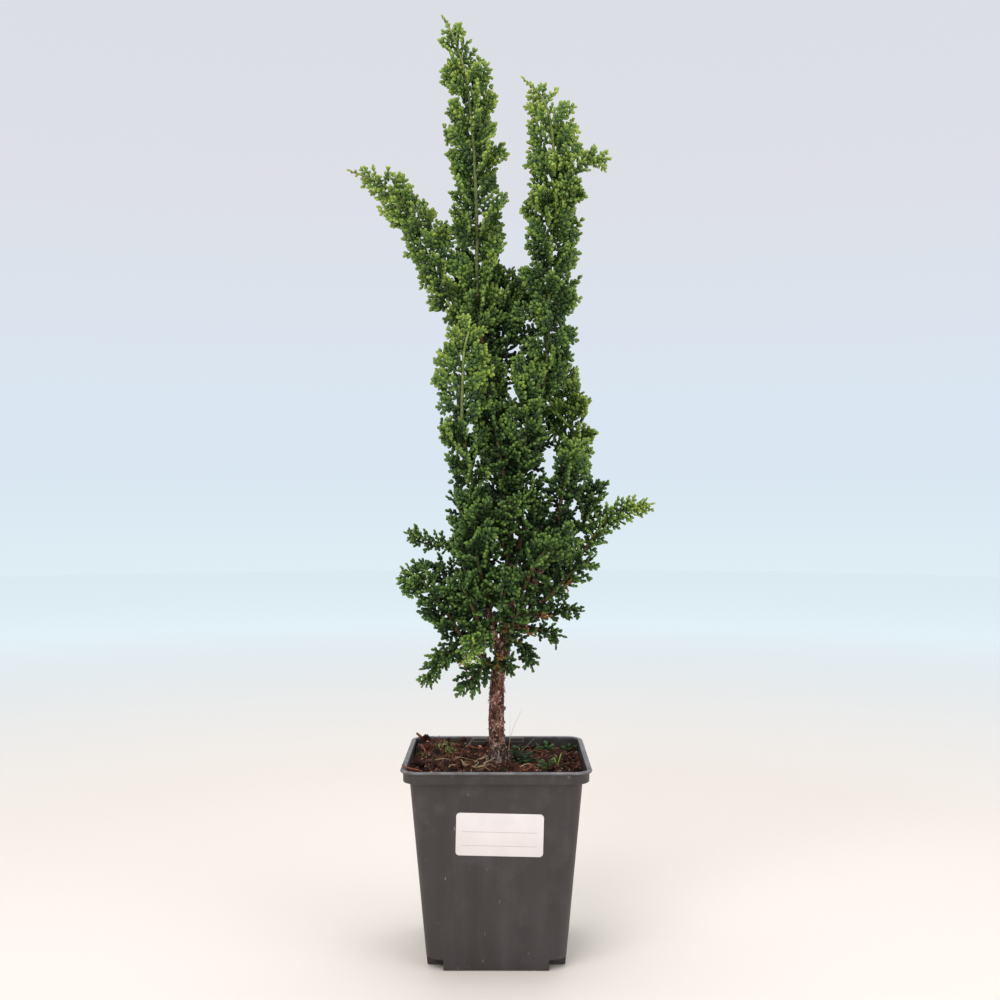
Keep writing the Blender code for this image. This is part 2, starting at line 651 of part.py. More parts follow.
def stem_fans(owner: int, stem: Stem, rng: random.Random) -> dict:
    """Return the fans of one branch, keyed by their diamond."""
    rows = lattice_rows(stem)
    last = len(rows) - 1
    fans = {}
    for corners in diamonds(rows, stem.around):
        base = [rows[k][i] for k, i in corners]
        k = corners[0][0]
        way = stem.ways[k]
        out = sum(base, Vector()) / 4 - stem.route[k]
        out = (out - way * out.dot(way)).normalized()
        out.rotate(Matrix.Rotation(rng.uniform(-0.4, 0.4), 3, way))
        lean = FAN_LEAN * min(0.2 + k / last / FAN_LEAN_FROM, 1.0) + rng.uniform(-0.2, 0.2)
        along = out * math.cos(lean) + way * math.sin(lean)
        up = way * math.cos(lean) - out * math.sin(lean)
        reach = leaf_radius(stem.plume, k / last) - 0.8 * stem.core[k]
        length = max(reach / math.cos(lean), FAN_MIN_LENGTH) * rng.uniform(0.9, 1.12)
        fans[corners] = Fan(owner, base, along, up, length, lobe_draws(rng))
    corners = cap_corners(rows, stem.around)
    base = [rows[k][i] for k, i in corners]
    up = (base[1] - stem.route[-1]).normalized()
    fans[corners] = Fan(owner, base, stem.ways[-1], up, FAN_MIN_LENGTH, lobe_draws(rng))
    return fans


def lobe_draws(rng: random.Random) -> list:
    """Draw a fan's lobe sizes."""
    return [rng.uniform(0.86, 1.12) for _ in FAN_LOBES]


def place_fans(stems: list, wood) -> list:
    """Choose each fan's size and roll so that it meets nothing; size 0 leaves it out."""
    rng = random.Random(SEED)
    fans = [stem_fans(owner, stem, rng) for owner, stem in enumerate(stems)]
    centre = Vector((3 * MM, 3 * MM, 0))
    order = [fan for group in fans for fan in group.values()]
    order.sort(key=lambda fan: -((fan.base[0] + fan.along * fan.length) - centre).xy.length)
    solids = [(-1, BVHTree.FromObject(wood, bpy.context.evaluated_depsgraph_get()))]
    for owner, stem in enumerate(stems):
        points, faces = plume_faces(stem, {})
        solids.append((owner, BVHTree.FromPolygons(points, faces)))
    taken = []
    for fan in order:
        reach = 1.1 * fan.length
        near = [item for item in taken if (item[2] - fan.base[0]).length < reach + item[3] + 6 * MM]
        siblings = [tree for owner, tree, *_ in near if owner == fan.owner]
        others = [tree for owner, tree, *_ in near if owner != fan.owner]
        others += [tree for owner, tree in solids if owner != fan.owner]
        for fan.size, fan.roll in [(size, roll) for size in FAN_SIZES for roll in FAN_ROLLS]:
            outer, swollen = fan.outer_tree(), fan.tree(1.5 * GAP)
            if any(tree.overlap(outer) for tree in siblings):
                continue
            if any(tree.overlap(swollen) for tree in others):
                continue
            taken.append((fan.owner, fan.tree(), fan.base[0], reach))
            break
        else:
            fan.size = 0.0
    return fans


def plume_faces(stem: Stem, fans: dict) -> tuple:
    """Return the points and faces of a branch: its core with the fans that are placed."""
    rows = lattice_rows(stem)
    around, last = stem.around, len(rows) - 1
    points = [point for row in rows for point in row]
    number = {(k, i): k * around + i for k in range(len(rows)) for i in range(around)}
    faces = [tuple(number[0, i] for i in reversed(range(around)))]
    for i in range(around):
        after = (i + 1) % around
        faces.append((number[0, i], number[0, after], number[1, i]))
        faces.append((number[last - 1, after], number[last, after], number[last, i]))
    patches = [*diamonds(rows, around), cap_corners(rows, around)]
    for corners in patches:
        fan = fans.get(corners)
        if fan is None or not fan.size:
            right, upper, left, *lower = [number[corner] for corner in corners]
            faces += [(right, upper, left)] + [(right, left, low) for low in lower]
            continue
        fan_points, fan_faces = fan.faces()
        start = len(points) - len(corners)
        points += fan_points[len(corners):]
        known = [number[corner] for corner in corners]
        for face in fan_faces:
            faces.append(tuple(known[i] if i < len(known) else start + i for i in face))
    return points, faces


def make_plume(stem: Stem, fans: dict, finish) -> bpy.types.Object:
    """Build one leafy branch as one closed mesh, dropping fans that cross each other."""
    while True:
        points, faces = plume_faces(stem, fans)
        tree = BVHTree.FromPolygons(points, faces)
        crossing = {j for i, j in tree.overlap(tree) if i < j and not set(faces[i]) & set(faces[j])}
        if not crossing:
            break
        drop_fan_of(faces, crossing, stem, fans)
    bm = bmesh.new()
    verts = [bm.verts.new(point) for point in points]
    for face in faces:
        bm.faces.new([verts[i] for i in face])
    return make_object("plume_" + stem.plume.name, bm, finish)


def drop_fan_of(faces: list, crossing: set, stem: Stem, fans: dict) -> None:
    """Leave out the last placed fan that one of the crossing faces belongs to."""
    base = len(stem.route) * stem.around
    per_fan = len(FAN_LOBES) * 2 - 1 + 2
    placed = [corners for corners in [*diamonds(lattice_rows(stem), stem.around),
                                      cap_corners(lattice_rows(stem), stem.around)]
              if fans[corners].size]
    highest = max(max(faces[j]) for j in crossing)
    fans[placed[(highest - base) // per_fan]].size = 0.0


def make_foliage(places: list, wood) -> None:
    """Build every leafy branch as one solid: a slim core drawn out into fans."""
    stems = [stem_of(plume, twig_way(plume, places)[1]) for plume in PLUMES]
    share_room(stems)
    finish = material("leaf_green", (0.03, 0.10, 0.03), 0.6)
    bpy.context.view_layer.update()
    made = {}
    for stem, fans in zip(stems, place_fans(stems, wood)):
        made[stem.plume.name] = make_plume(stem, fans, finish)
    for plume in [plume for plume in PLUMES if plume.host]:
        apply_boolean(made[plume.host], [made[plume.name]], "UNION")


def main() -> None:
    """Build the pot, its label, the soil, the wood and the foliage."""
    clear_scene()
    make_pot()
    make_label()
    make_soil()
    places = twig_roots()
    wood = make_wood(places)
    make_foliage(places, wood)


main()
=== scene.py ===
"""Looks of a young hinoki cypress bonsai in its square nursery pot.

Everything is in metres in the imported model's frame: the origin is the middle of the
pot's underside, +Z is up and the labelled front faces -Y.
"""
import logging
import math
from dataclasses import dataclass, field
from enum import Enum
from random import Random

import bpy
import bmesh
import numpy as np
from bmesh.types import BMEdge, BMesh, BMFace, BMVert
from mathutils import Matrix, Vector, noise


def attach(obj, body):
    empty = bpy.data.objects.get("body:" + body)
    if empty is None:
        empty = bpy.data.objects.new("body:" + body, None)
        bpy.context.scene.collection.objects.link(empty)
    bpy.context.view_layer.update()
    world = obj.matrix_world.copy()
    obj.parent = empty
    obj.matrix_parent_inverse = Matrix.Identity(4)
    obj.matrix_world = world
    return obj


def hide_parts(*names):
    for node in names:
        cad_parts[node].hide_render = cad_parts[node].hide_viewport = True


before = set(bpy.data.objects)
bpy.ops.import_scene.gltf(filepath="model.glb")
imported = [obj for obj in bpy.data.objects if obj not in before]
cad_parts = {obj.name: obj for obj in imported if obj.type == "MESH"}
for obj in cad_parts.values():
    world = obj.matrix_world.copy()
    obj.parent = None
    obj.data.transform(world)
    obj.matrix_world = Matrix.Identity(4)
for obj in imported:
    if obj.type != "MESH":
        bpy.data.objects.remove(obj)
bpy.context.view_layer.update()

LOG = logging.getLogger("bonsai")

MM = 0.001
BODY = "root"
GOLDEN_ANGLE = math.radians(137.508)
CORNER_STEPS = 10
UP = Vector((0, 0, 1))

Pair = tuple[float, float]
Point = tuple[float, float, float]
Colour = tuple[float, float, float]
Stops = tuple[tuple[float, Colour], ...]
Route = list[Vector]
Socket = bpy.types.NodeSocket
Material = bpy.types.Material
Piece = bpy.types.Object

QUARTERS = ((-1, -1), (-1, 1), (1, -1), (1, 1))


# Small helpers for vectors, routes and meshes


def to_metres(route: tuple[Point, ...]) -> Route:
    """Return a route given in millimetres as vectors in metres."""
    return [Vector(point) * MM for point in route]


def smooth_route(points: Route, step: float) -> Route:
    """Return evenly numbered points on a smooth curve through the given ones.

    Args:
        points: the route's own points, at least two.
        step: the wanted distance from one point to the next.

    Returns:
        The points of the curve, from its first to its last.
    """
    ends = [points[0] * 2 - points[1]] + points + [points[-1] * 2 - points[-2]]
    length = sum((b - a).length for a, b in zip(points, points[1:]))
    count = max(2, round(length / step))
    route = []
    for i in range(count + 1):
        place = i / count * (len(points) - 1)
        part = min(int(place), len(points) - 2)
        t = place - part
        a, b, c, d = ends[part:part + 4]
        route.append(0.5 * ((2 * b) + (c - a) * t + (2 * a - 5 * b + 4 * c - d) * t * t
                            + (3 * b - a - 3 * c + d) * t ** 3))
    return route


def directions(route: Route) -> Route:
    """Return the direction of travel at each point of a route."""
    last = len(route) - 1
    return [(route[min(i + 1, last)] - route[max(i - 1, 0)]).normalized() for i in range(last + 1)]


def side_of(way: Vector) -> Vector:
    """Return a vector square to a direction."""
    helper = Vector((0, 1, 0)) if abs(way.y) < 0.8 else Vector((1, 0, 0))
    return way.cross(helper).normalized()


def pose(root: Vector, along: Vector, up: Vector, size: Vector) -> Matrix:
    """Return the matrix that sets a shape lying along +Y, upper side +Z, at a place.

    Args:
        root: where the shape's origin goes.
        along: the direction its +Y takes.
        up: roughly the direction its +Z takes.
        size: its scale along its own X, Y and Z.

    Returns:
        A 4x4 matrix.
    """
    across = along.cross(up)
    if across.length < 1e-6:
        across = side_of(along)
    across.normalize()
    turn = Matrix((across, along, across.cross(along))).transposed().to_4x4()
    return Matrix.Translation(root) @ turn @ Matrix.Diagonal((*size, 1.0))


def smooth_step(value: float) -> float:
    """Return a soft rise from 0 to 1 as value goes from 0 to 1."""
    value = min(max(value, 0.0), 1.0)
    return value * value * (3 - 2 * value)


@dataclass
class Shape:
    """A small mesh that is copied many times, with each point's share along its length."""

    mesh: bpy.types.Mesh
    along: np.ndarray

    @classmethod
    def from_bmesh(cls, name: str, bm: BMesh) -> "Shape":
        """Return the shape made of a bmesh that lies along +Y from 0 to 1, and free it."""
        mesh = mesh_of(name, bm)
        return cls(mesh, np.clip([vert.co.y for vert in mesh.vertices], 0.0, 1.0))


@dataclass
class Gathering:
    """Copies of small shapes, gathered into one mesh with two tones on every point."""

    bm: BMesh = field(default_factory=bmesh.new)
    fresh: list[np.ndarray] = field(default_factory=list)
    dry: list[np.ndarray] = field(default_factory=list)

    def add(self, shape: Shape, place: Matrix, tones: Pair, dry: float = 0.0) -> None:
        """Add one copy of a shape.

        Args:
            shape: what is copied.
            place: where it goes, as a matrix.
            tones: its fresh tone at its root and at its tip; on the leafy tips these also hold painted
                shade at the root and a painted highlight at the tip.
            dry: how dry and brown it is, from 0 to 1.
        """
        shape.mesh.transform(place)
        self.bm.from_mesh(shape.mesh)
        shape.mesh.transform(place.inverted())
        self.fresh.append(tones[0] + (tones[1] - tones[0]) * shape.along)
        self.dry.append(np.full(len(shape.along), dry))

    def finish(self, name: str, finish: Material, slot: str) -> Piece:
        """Make the gathered copies one piece that rides on the body.

        Args:
            name: the piece's name.
            finish: its material.
            slot: the material slot; not used.

        Returns:
            The piece.
        """
        mesh = bpy.data.meshes.new(name)
        self.bm.to_mesh(mesh)
        self.bm.free()
        for label, parts in (("fresh", self.fresh), ("dry", self.dry)):
            layer = mesh.attributes.new(label, "FLOAT", "POINT")
            layer.data.foreach_set("value", np.concatenate(parts).astype(np.float32))
        return as_piece(name, mesh, finish)


def placed(name: str, data: bpy.types.ID) -> Piece:
    """Return a new object that holds a mesh, a light or a camera, put in the scene."""
    made = bpy.data.objects.new(name, data)
    bpy.context.scene.collection.objects.link(made)
    return made


def as_piece(name: str, mesh: bpy.types.Mesh, finish: Material) -> Piece:
    """Put a finished mesh in the scene as a piece that rides on the body.

    Args:
        name: the piece's name.
        mesh: its mesh, which already lies in its place.
        finish: its material.

    Returns:
        The piece.
    """
    mesh.materials.clear()
    mesh.materials.append(finish)
    piece = placed(name, mesh)
    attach(piece, BODY)
    return piece


def mesh_of(name: str, bm: BMesh, smooth_angle: float = 180.0) -> bpy.types.Mesh:
    """Turn a bmesh into a mesh with its faces outwards, and free it.

    Args:
        name: the mesh's name.
        bm: the bmesh.
        smooth_angle: faces that meet at less than this, in degrees, are shaded smooth.

    Returns:
        The mesh.
    """
    bmesh.ops.recalc_face_normals(bm, faces=bm.faces)
    for face in bm.faces:
        face.smooth = True
    mesh = bpy.data.meshes.new(name)
    bm.to_mesh(mesh)
    bm.free()
    if smooth_angle < 180.0:
        mesh.set_sharp_from_angle(angle=math.radians(smooth_angle))
    return mesh


def extruded(bm: BMesh, edges: list[BMEdge]
             ) -> tuple[list[BMEdge], set[BMVert]]:
    """Extrude a ring of edges, leaving the new ring where the old one lies.

    Args:
        bm: the bmesh that holds the ring.
        edges: the ring's edges.

    Returns:
        The new ring's edges and vertices.
    """
    grown = bmesh.ops.extrude_edge_only(bm, edges=edges)["geom"]
    verts = {item for item in grown if isinstance(item, BMVert)}
    ring = [item for item in grown if isinstance(item, BMEdge)
            and item.verts[0] in verts and item.verts[1] in verts]
    return ring, verts


def sweep(bm: BMesh, route: Route, radii: list[float], sides: int) -> None:
    """Add a closed tube along a route to a bmesh.

    Args:
        bm: the bmesh that takes the tube.
        route: the points of its middle line.
        radii: its radius at each of those points.
        sides: how many sides it has.
    """
    ways = directions(route)
    side = side_of(ways[0])
    ring = bmesh.ops.create_circle(bm, cap_ends=True, segments=sides, radius=1.0)["verts"]
    rest = [vert.co.copy() for vert in ring]
    edges = list(dict.fromkeys(edge for vert in ring for edge in vert.link_edges))
    for i, (point, way, radius) in enumerate(zip(route, ways, radii)):
        side = (side - way * side.dot(way)).normalized()
        other = way.cross(side)
        if i:
            edges, new = extruded(bm, edges)
            ring = [next(edge.other_vert(vert) for edge in vert.link_edges
                         if edge.other_vert(vert) in new) for vert in ring]
        for vert, spot in zip(ring, rest):
            vert.co = point + radius * (side * spot.x + other * spot.y)
    bmesh.ops.contextual_create(bm, geom=edges)


# Finishes


def fill_ramp(ramp: bpy.types.ColorRamp, stops: Stops) -> None:
    """Give a colour ramp its stops, each a place from 0 to 1 with its colour."""
    while len(ramp.elements) < len(stops):
        ramp.elements.new(1.0)
    for element, (place, colour) in zip(ramp.elements, stops):
        element.position, element.color = place, (*colour, 1.0)


class NodeBench:
    """A material's node tree, with short ways to add what the finishes here need."""

    def __init__(self, name: str) -> None:
        """Start a material with a Principled shader and Object coordinates."""
        self.material = bpy.data.materials.new(name)
        self.material.use_nodes = True
        self.tree = self.material.node_tree
        self.shader = self.tree.nodes["Principled BSDF"]
        self.coords = self.tree.nodes.new("ShaderNodeTexCoord").outputs["Object"]

    def fill(self, socket: Socket, value: object) -> None:
        """Link a socket to another one, or give it a plain value."""
        if isinstance(value, Socket):
            self.tree.links.new(value, socket)
        else:
            socket.default_value = value

    def node(self, kind: str, inputs: dict | None = None, **settings: object) -> bpy.types.Node:
        """Add a node.

        Args:
            kind: Blender's name for the node, without its ShaderNode in front.
            inputs: a link or a plain value for each input that isn't left as it is.
            **settings: the node's properties.

        Returns:
            The node.
        """
        made = self.tree.nodes.new("ShaderNode" + kind)
        for key, value in settings.items():
            setattr(made, key, value)
        for key, value in (inputs or {}).items():
            self.fill(made.inputs[key], value)
        return made

    def axis(self, name: str) -> Socket:
        """Return one of the Object coordinates: X, Y or Z."""
        return self.node("SeparateXYZ", {0: self.coords}).outputs[name]

    def stretched(self, scale: Point) -> Socket:
        """Return the Object coordinates, scaled along each axis."""
        return self.node("Mapping", {0: self.coords, "Scale": scale}).outputs[0]

    def noise(self, scale: float, detail: float = 3.0, vector: Socket | None = None,
              roughness: float = 0.55) -> Socket:
        """Return a noise value about 0.5."""
        return self.node("TexNoise", {
            "Vector": vector or self.coords, "Scale": scale, "Detail": detail,
            "Roughness": roughness}).outputs["Fac"]

    def cells(self, scale: float, output: str = "Distance", feature: str = "F1",
              vector: Socket | None = None) -> Socket:
        """Return a Voronoi output."""
        return self.node("TexVoronoi", {"Vector": vector or self.coords, "Scale": scale},
                         feature=feature).outputs[output]

    def math(self, operation: str, first: object, second: object = 0.0) -> Socket:
        """Return the result of a two-number sum."""
        return self.node("Math", {0: first, 1: second}, operation=operation).outputs[0]

    def span(self, value: Socket, low: float, high: float,
             to_low: float = 0.0, to_high: float = 1.0) -> Socket:
        """Return a value stretched from one range to another and held inside it."""
        return self.node("MapRange", {
            "Value": value, "From Min": low, "From Max": high, "To Min": to_low,
            "To Max": to_high}).outputs[0]

    def mottle(self, scale: float, depth: float, detail: float = 3.0) -> Socket:
        """Return soft patches between minus and plus a depth."""
        return self.span(self.noise(scale, detail), 0.3, 0.7, -depth, depth)

    def away(self, value: Socket, middle: float) -> Socket:
        """Return how far a value is from a middle one."""
        return self.math("ABSOLUTE", self.math("SUBTRACT", value, middle))

    def weighed(self, first: Socket, weight: float, second: Socket, other: float) -> Socket:
        """Return the sum of two values, each times its own weight."""
        return self.math("ADD", self.math("MULTIPLY", first, weight),
                         self.math("MULTIPLY", second, other))

    def any_of(self, masks: list[Socket]) -> Socket:
        """Return the largest of some masks."""
        largest = masks[0]
        for mask in masks[1:]:
            largest = self.math("MAXIMUM", largest, mask)
        return largest

    def mix(self, share: object, first: object, second: object, blend: str = "MIX") -> Socket:
        """Mix two colours.

        Args:
            share: how much of the second colour shows, as a number or a link.
            first: the first colour, or a link to it.
            second: the second colour, or a link to it.
            blend: Blender's name for the way they are mixed.

        Returns:
            A link to the mixed colour.
        """
        made = self.node("Mix", data_type="RGBA", blend_type=blend)
        self.fill(made.inputs[0], share)
        for key, value in ((6, first), (7, second)):
            self.fill(made.inputs[key], value if isinstance(value, Socket) else (*value, 1.0))
        return made.outputs[2]

    def tinted(self, share: object, colour: Socket, tint: Colour) -> Socket:
        """Return a colour that is multiplied by a tint where the share is high."""
        return self.mix(share, colour, self.mix(1.0, colour, tint, "MULTIPLY"))

    def ramp(self, value: Socket, stops: Stops) -> Socket:
        """Return the colour that a ramp with the given stops has at a value."""
        made = self.node("ValToRGB", {0: value})
        fill_ramp(made.color_ramp, stops)
        return made.outputs[0]

    def attribute(self, name: str) -> Socket:
        """Return the value of one of the mesh's attributes."""
        return self.node("Attribute", attribute_name=name).outputs["Fac"]

    def bump(self, height: Socket, distance: float, strength: float = 1.0,
             below: Socket | None = None) -> Socket:
        """Lay a height on the surface as bumps.

        Args:
            height: the height, as a link.
            distance: how high a height of 1 stands, in metres.
            strength: how strongly it shows, from 0 to 1.
            below: another bump that this one lies on.

        Returns:
            A link to the normal.
        """
        inputs = {"Height": height, "Distance": distance, "Strength": strength}
        if below is not None:
            inputs["Normal"] = below
        return self.node("Bump", inputs).outputs[0]

    def wire(self, **inputs: object) -> Material:
        """Fill the shader's inputs.

        Args:
            **inputs: a link or a plain value for each, under its name in lower case.

        Returns:
            The finished material.
        """
        for key, value in inputs.items():
            name = key.replace("_", " ").title().replace("Ior", "IOR")
            self.fill(self.shader.inputs[name], value)
        return self.material


@dataclass(frozen=True)
class LeafFinish:
    """Scale leaves: dark and cool low down, darker inside each spray with painted shade, yellow-green
    where they are fresh, with painted shade in the creases between the scales.
    """

    scales_per_metre: float = 1000.0
    roughness: float = 0.52
    greens: Stops = (
        (0.0, (0.004, 0.009, 0.003)), (0.22, (0.017, 0.038, 0.010)),
        (0.45, (0.058, 0.114, 0.025)), (0.62, (0.130, 0.212, 0.038)),
        (0.80, (0.255, 0.345, 0.056)), (1.0, (0.440, 0.500, 0.085)))
    browns: Stops = (
        (0.3, (0.16, 0.055, 0.018)), (0.5, (0.42, 0.17, 0.045)), (0.7, (0.62, 0.33, 0.12)))
    cool_tint: Colour = (0.72, 0.92, 1.0)
    crease_shade_tint: Colour = (0.35, 0.45, 0.40)
    relief: float = 0.35 * MM

    def build(self) -> Material:
        """Build the material, which reads the attributes fresh and dry.

        Returns:
            The material.
        """
        bench = NodeBench("scale_leaves")
        specks = bench.span(bench.cells(self.scales_per_metre * 0.6, "Color"), 0.0, 1.0, -0.05, 0.05)
        # The fresh attribute holds the fresh tone together with painted shade deep in the sprays and
        # painted highlights at the tips.
        tone = bench.math("ADD", bench.attribute("fresh"),
                          bench.math("ADD", bench.mottle(90.0, 0.08, 4.0), specks))
        cool = bench.span(bench.axis("Z"), 0.14, 0.36, 0.42, 0.0)
        green = bench.tinted(cool, bench.ramp(tone, self.greens), self.cool_tint)
        brown = bench.ramp(bench.noise(300.0, 2.0), self.browns)
        colour = bench.mix(bench.attribute("dry"), green, brown)
        # Painted shade: the colour is darkened towards the edges of the scale cells, in the creases
        # between the scales; the same cells give the bump.
        creases = bench.span(bench.cells(self.scales_per_metre), 0.0, 0.55)
        colour = bench.tinted(bench.math("MULTIPLY", creases, 0.35), colour, self.crease_shade_tint)
        grain = bench.bump(bench.math("SUBTRACT", 1.0, creases), self.relief, 0.8)
        return bench.wire(base_color=colour, roughness=self.roughness, normal=grain,
                          specular_ior_level=0.22)


@dataclass(frozen=True)
class ShootFinish:
    """Young stems, olive where they are green and brown towards the wood."""

    colours: Stops = (
        (0.0, (0.075, 0.028, 0.016)), (0.3, (0.15, 0.075, 0.035)),
        (0.55, (0.11, 0.13, 0.035)), (0.8, (0.17, 0.22, 0.05)), (1.0, (0.30, 0.36, 0.09)))
    scar_tint: Colour = (0.45, 0.40, 0.35)
    relief: float = 0.2 * MM

    def build(self) -> Material:
        """Build the material, which reads the attribute fresh.

        Returns:
            The material.
        """
        bench = NodeBench("young_stems")
        tone = bench.math("ADD", bench.attribute("fresh"), bench.mottle(220.0, 0.15))
        scars = bench.span(bench.cells(420.0, vector=bench.stretched((1, 1, 0.5))), 0.0, 0.6)
        colour = bench.tinted(bench.math("MULTIPLY", scars, 0.4),
                              bench.ramp(tone, self.colours), self.scar_tint)
        return bench.wire(base_color=colour, roughness=0.62, specular_ior_level=0.3,
                          normal=bench.bump(scars, self.relief, 0.7))


@dataclass(frozen=True)
class BarkFinish:
    """Flaky bark: grey-brown and crusted at the foot, red-brown and peeling above."""

    plates_per_metre: float = 620.0
    reds: Stops = (
        (0.28, (0.040, 0.016, 0.011)), (0.42, (0.17, 0.062, 0.038)),
        (0.56, (0.40, 0.165, 0.105)), (0.72, (0.80, 0.50, 0.37)))
    greys: Stops = (
        (0.28, (0.018, 0.012, 0.009)), (0.42, (0.065, 0.042, 0.032)),
        (0.56, (0.17, 0.115, 0.088)), (0.74, (0.42, 0.32, 0.26)))
    grey_to_red: Pair = (0.114, 0.134)
    lichen: Colour = (0.13, 0.14, 0.045)
    lichen_heights: Pair = (0.118, 0.145)
    crack_shade: Colour = (0.016, 0.008, 0.006)
    flake_tint: Colour = (1.9, 1.75, 1.6)

    def build(self) -> Material:
        """Build the material, which reads the attribute fresh as a flake's own tone.

        Returns:
            The material.
        """
        bench = NodeBench("peeling_bark")
        wander = bench.node("TexNoise", {"Vector": bench.coords, "Scale": 420.0})
        warp = bench.mix(0.007, bench.stretched((1.0, 1.0, 0.5)), wander.outputs["Color"], "ADD")
        plates = bench.cells(self.plates_per_metre, "Color", vector=warp)
        seams = bench.cells(self.plates_per_metre, "Distance", "DISTANCE_TO_EDGE", warp)
        fibres = bench.noise(700.0, 5.0, bench.stretched((1.0, 1.0, 0.30)), 0.72)
        plate = bench.node("SeparateColor", {0: plates}).outputs[0]
        tone = bench.weighed(fibres, 0.55, plate, 0.5)
        height = bench.axis("Z")
        up = bench.math("ADD", bench.span(height, *self.grey_to_red), bench.mottle(80.0, 0.25))
        colour = bench.mix(bench.span(up, 0.0, 1.0), bench.ramp(tone, self.greys),
                           bench.ramp(tone, self.reds))
        patches = bench.span(bench.noise(260.0, 4.0), 0.60, 0.68, 0.0, 0.55)
        low = bench.span(height, *self.lichen_heights, 1.0, 0.0)
        colour = bench.mix(bench.math("MULTIPLY", patches, low), colour, self.lichen)
        # Painted shade: the seams between the bark plates are darkened nearly to black.
        crack_shade_mask = bench.span(seams, 0.0, 0.09, 1.0, 0.0)
        colour = bench.mix(bench.math("MULTIPLY", crack_shade_mask, 0.75), colour, self.crack_shade)
        flake = bench.span(bench.attribute("fresh"), 0.0, 1.0, 0.0, 0.7)
        colour = bench.tinted(flake, colour, self.flake_tint)
        relief = bench.bump(bench.span(seams, 0.0, 0.16), 0.8 * MM, 1.0,
                            bench.bump(fibres, 0.7 * MM, 0.9))
        return bench.wire(base_color=colour, roughness=0.82, normal=relief,
                          specular_ior_level=0.25)


@dataclass(frozen=True)
class PeatFinish:
    """Moist peat and fine bark, red-brown to nearly black, made paler or darker by its lift."""

    lift: float = 1.0
    colours: Stops = (
        (0.34, (0.009, 0.005, 0.004)), (0.45, (0.078, 0.028, 0.017)),
        (0.54, (0.24, 0.095, 0.052)), (0.65, (0.54, 0.29, 0.175)), (0.80, (0.66, 0.50, 0.36)))
    dry: Colour = (0.50, 0.36, 0.22)

    def build(self) -> Material:
        """Build the material, which reads the attributes fresh and dry.

        Returns:
            The material.
        """
        bench = NodeBench("peat" if self.lift == 1.0 else f"peat_lift_{self.lift:.2f}")
        lumps = bench.noise(170.0, 5.0, roughness=0.7)
        fine = bench.noise(900.0, 4.0, roughness=0.7)
        tone = bench.math("ADD", bench.weighed(lumps, 0.6, fine, 0.4),
                          bench.span(bench.attribute("fresh"), 0.0, 1.0, -0.12, 0.2))
        colour = bench.ramp(tone, tuple((place, tuple(part * self.lift for part in colour))
                                        for place, colour in self.colours))
        relief = bench.bump(fine, 0.7 * MM, 0.9, bench.bump(lumps, 1.2 * MM, 0.8))
        return bench.wire(base_color=bench.mix(bench.attribute("dry"), colour, self.dry),
                          roughness=0.9, normal=relief, specular_ior_level=0.12)


@dataclass(frozen=True)
class Plate:
    """A small plain plate moulded on the inside of the pot's back wall."""

    x: float
    width: float
    height: float


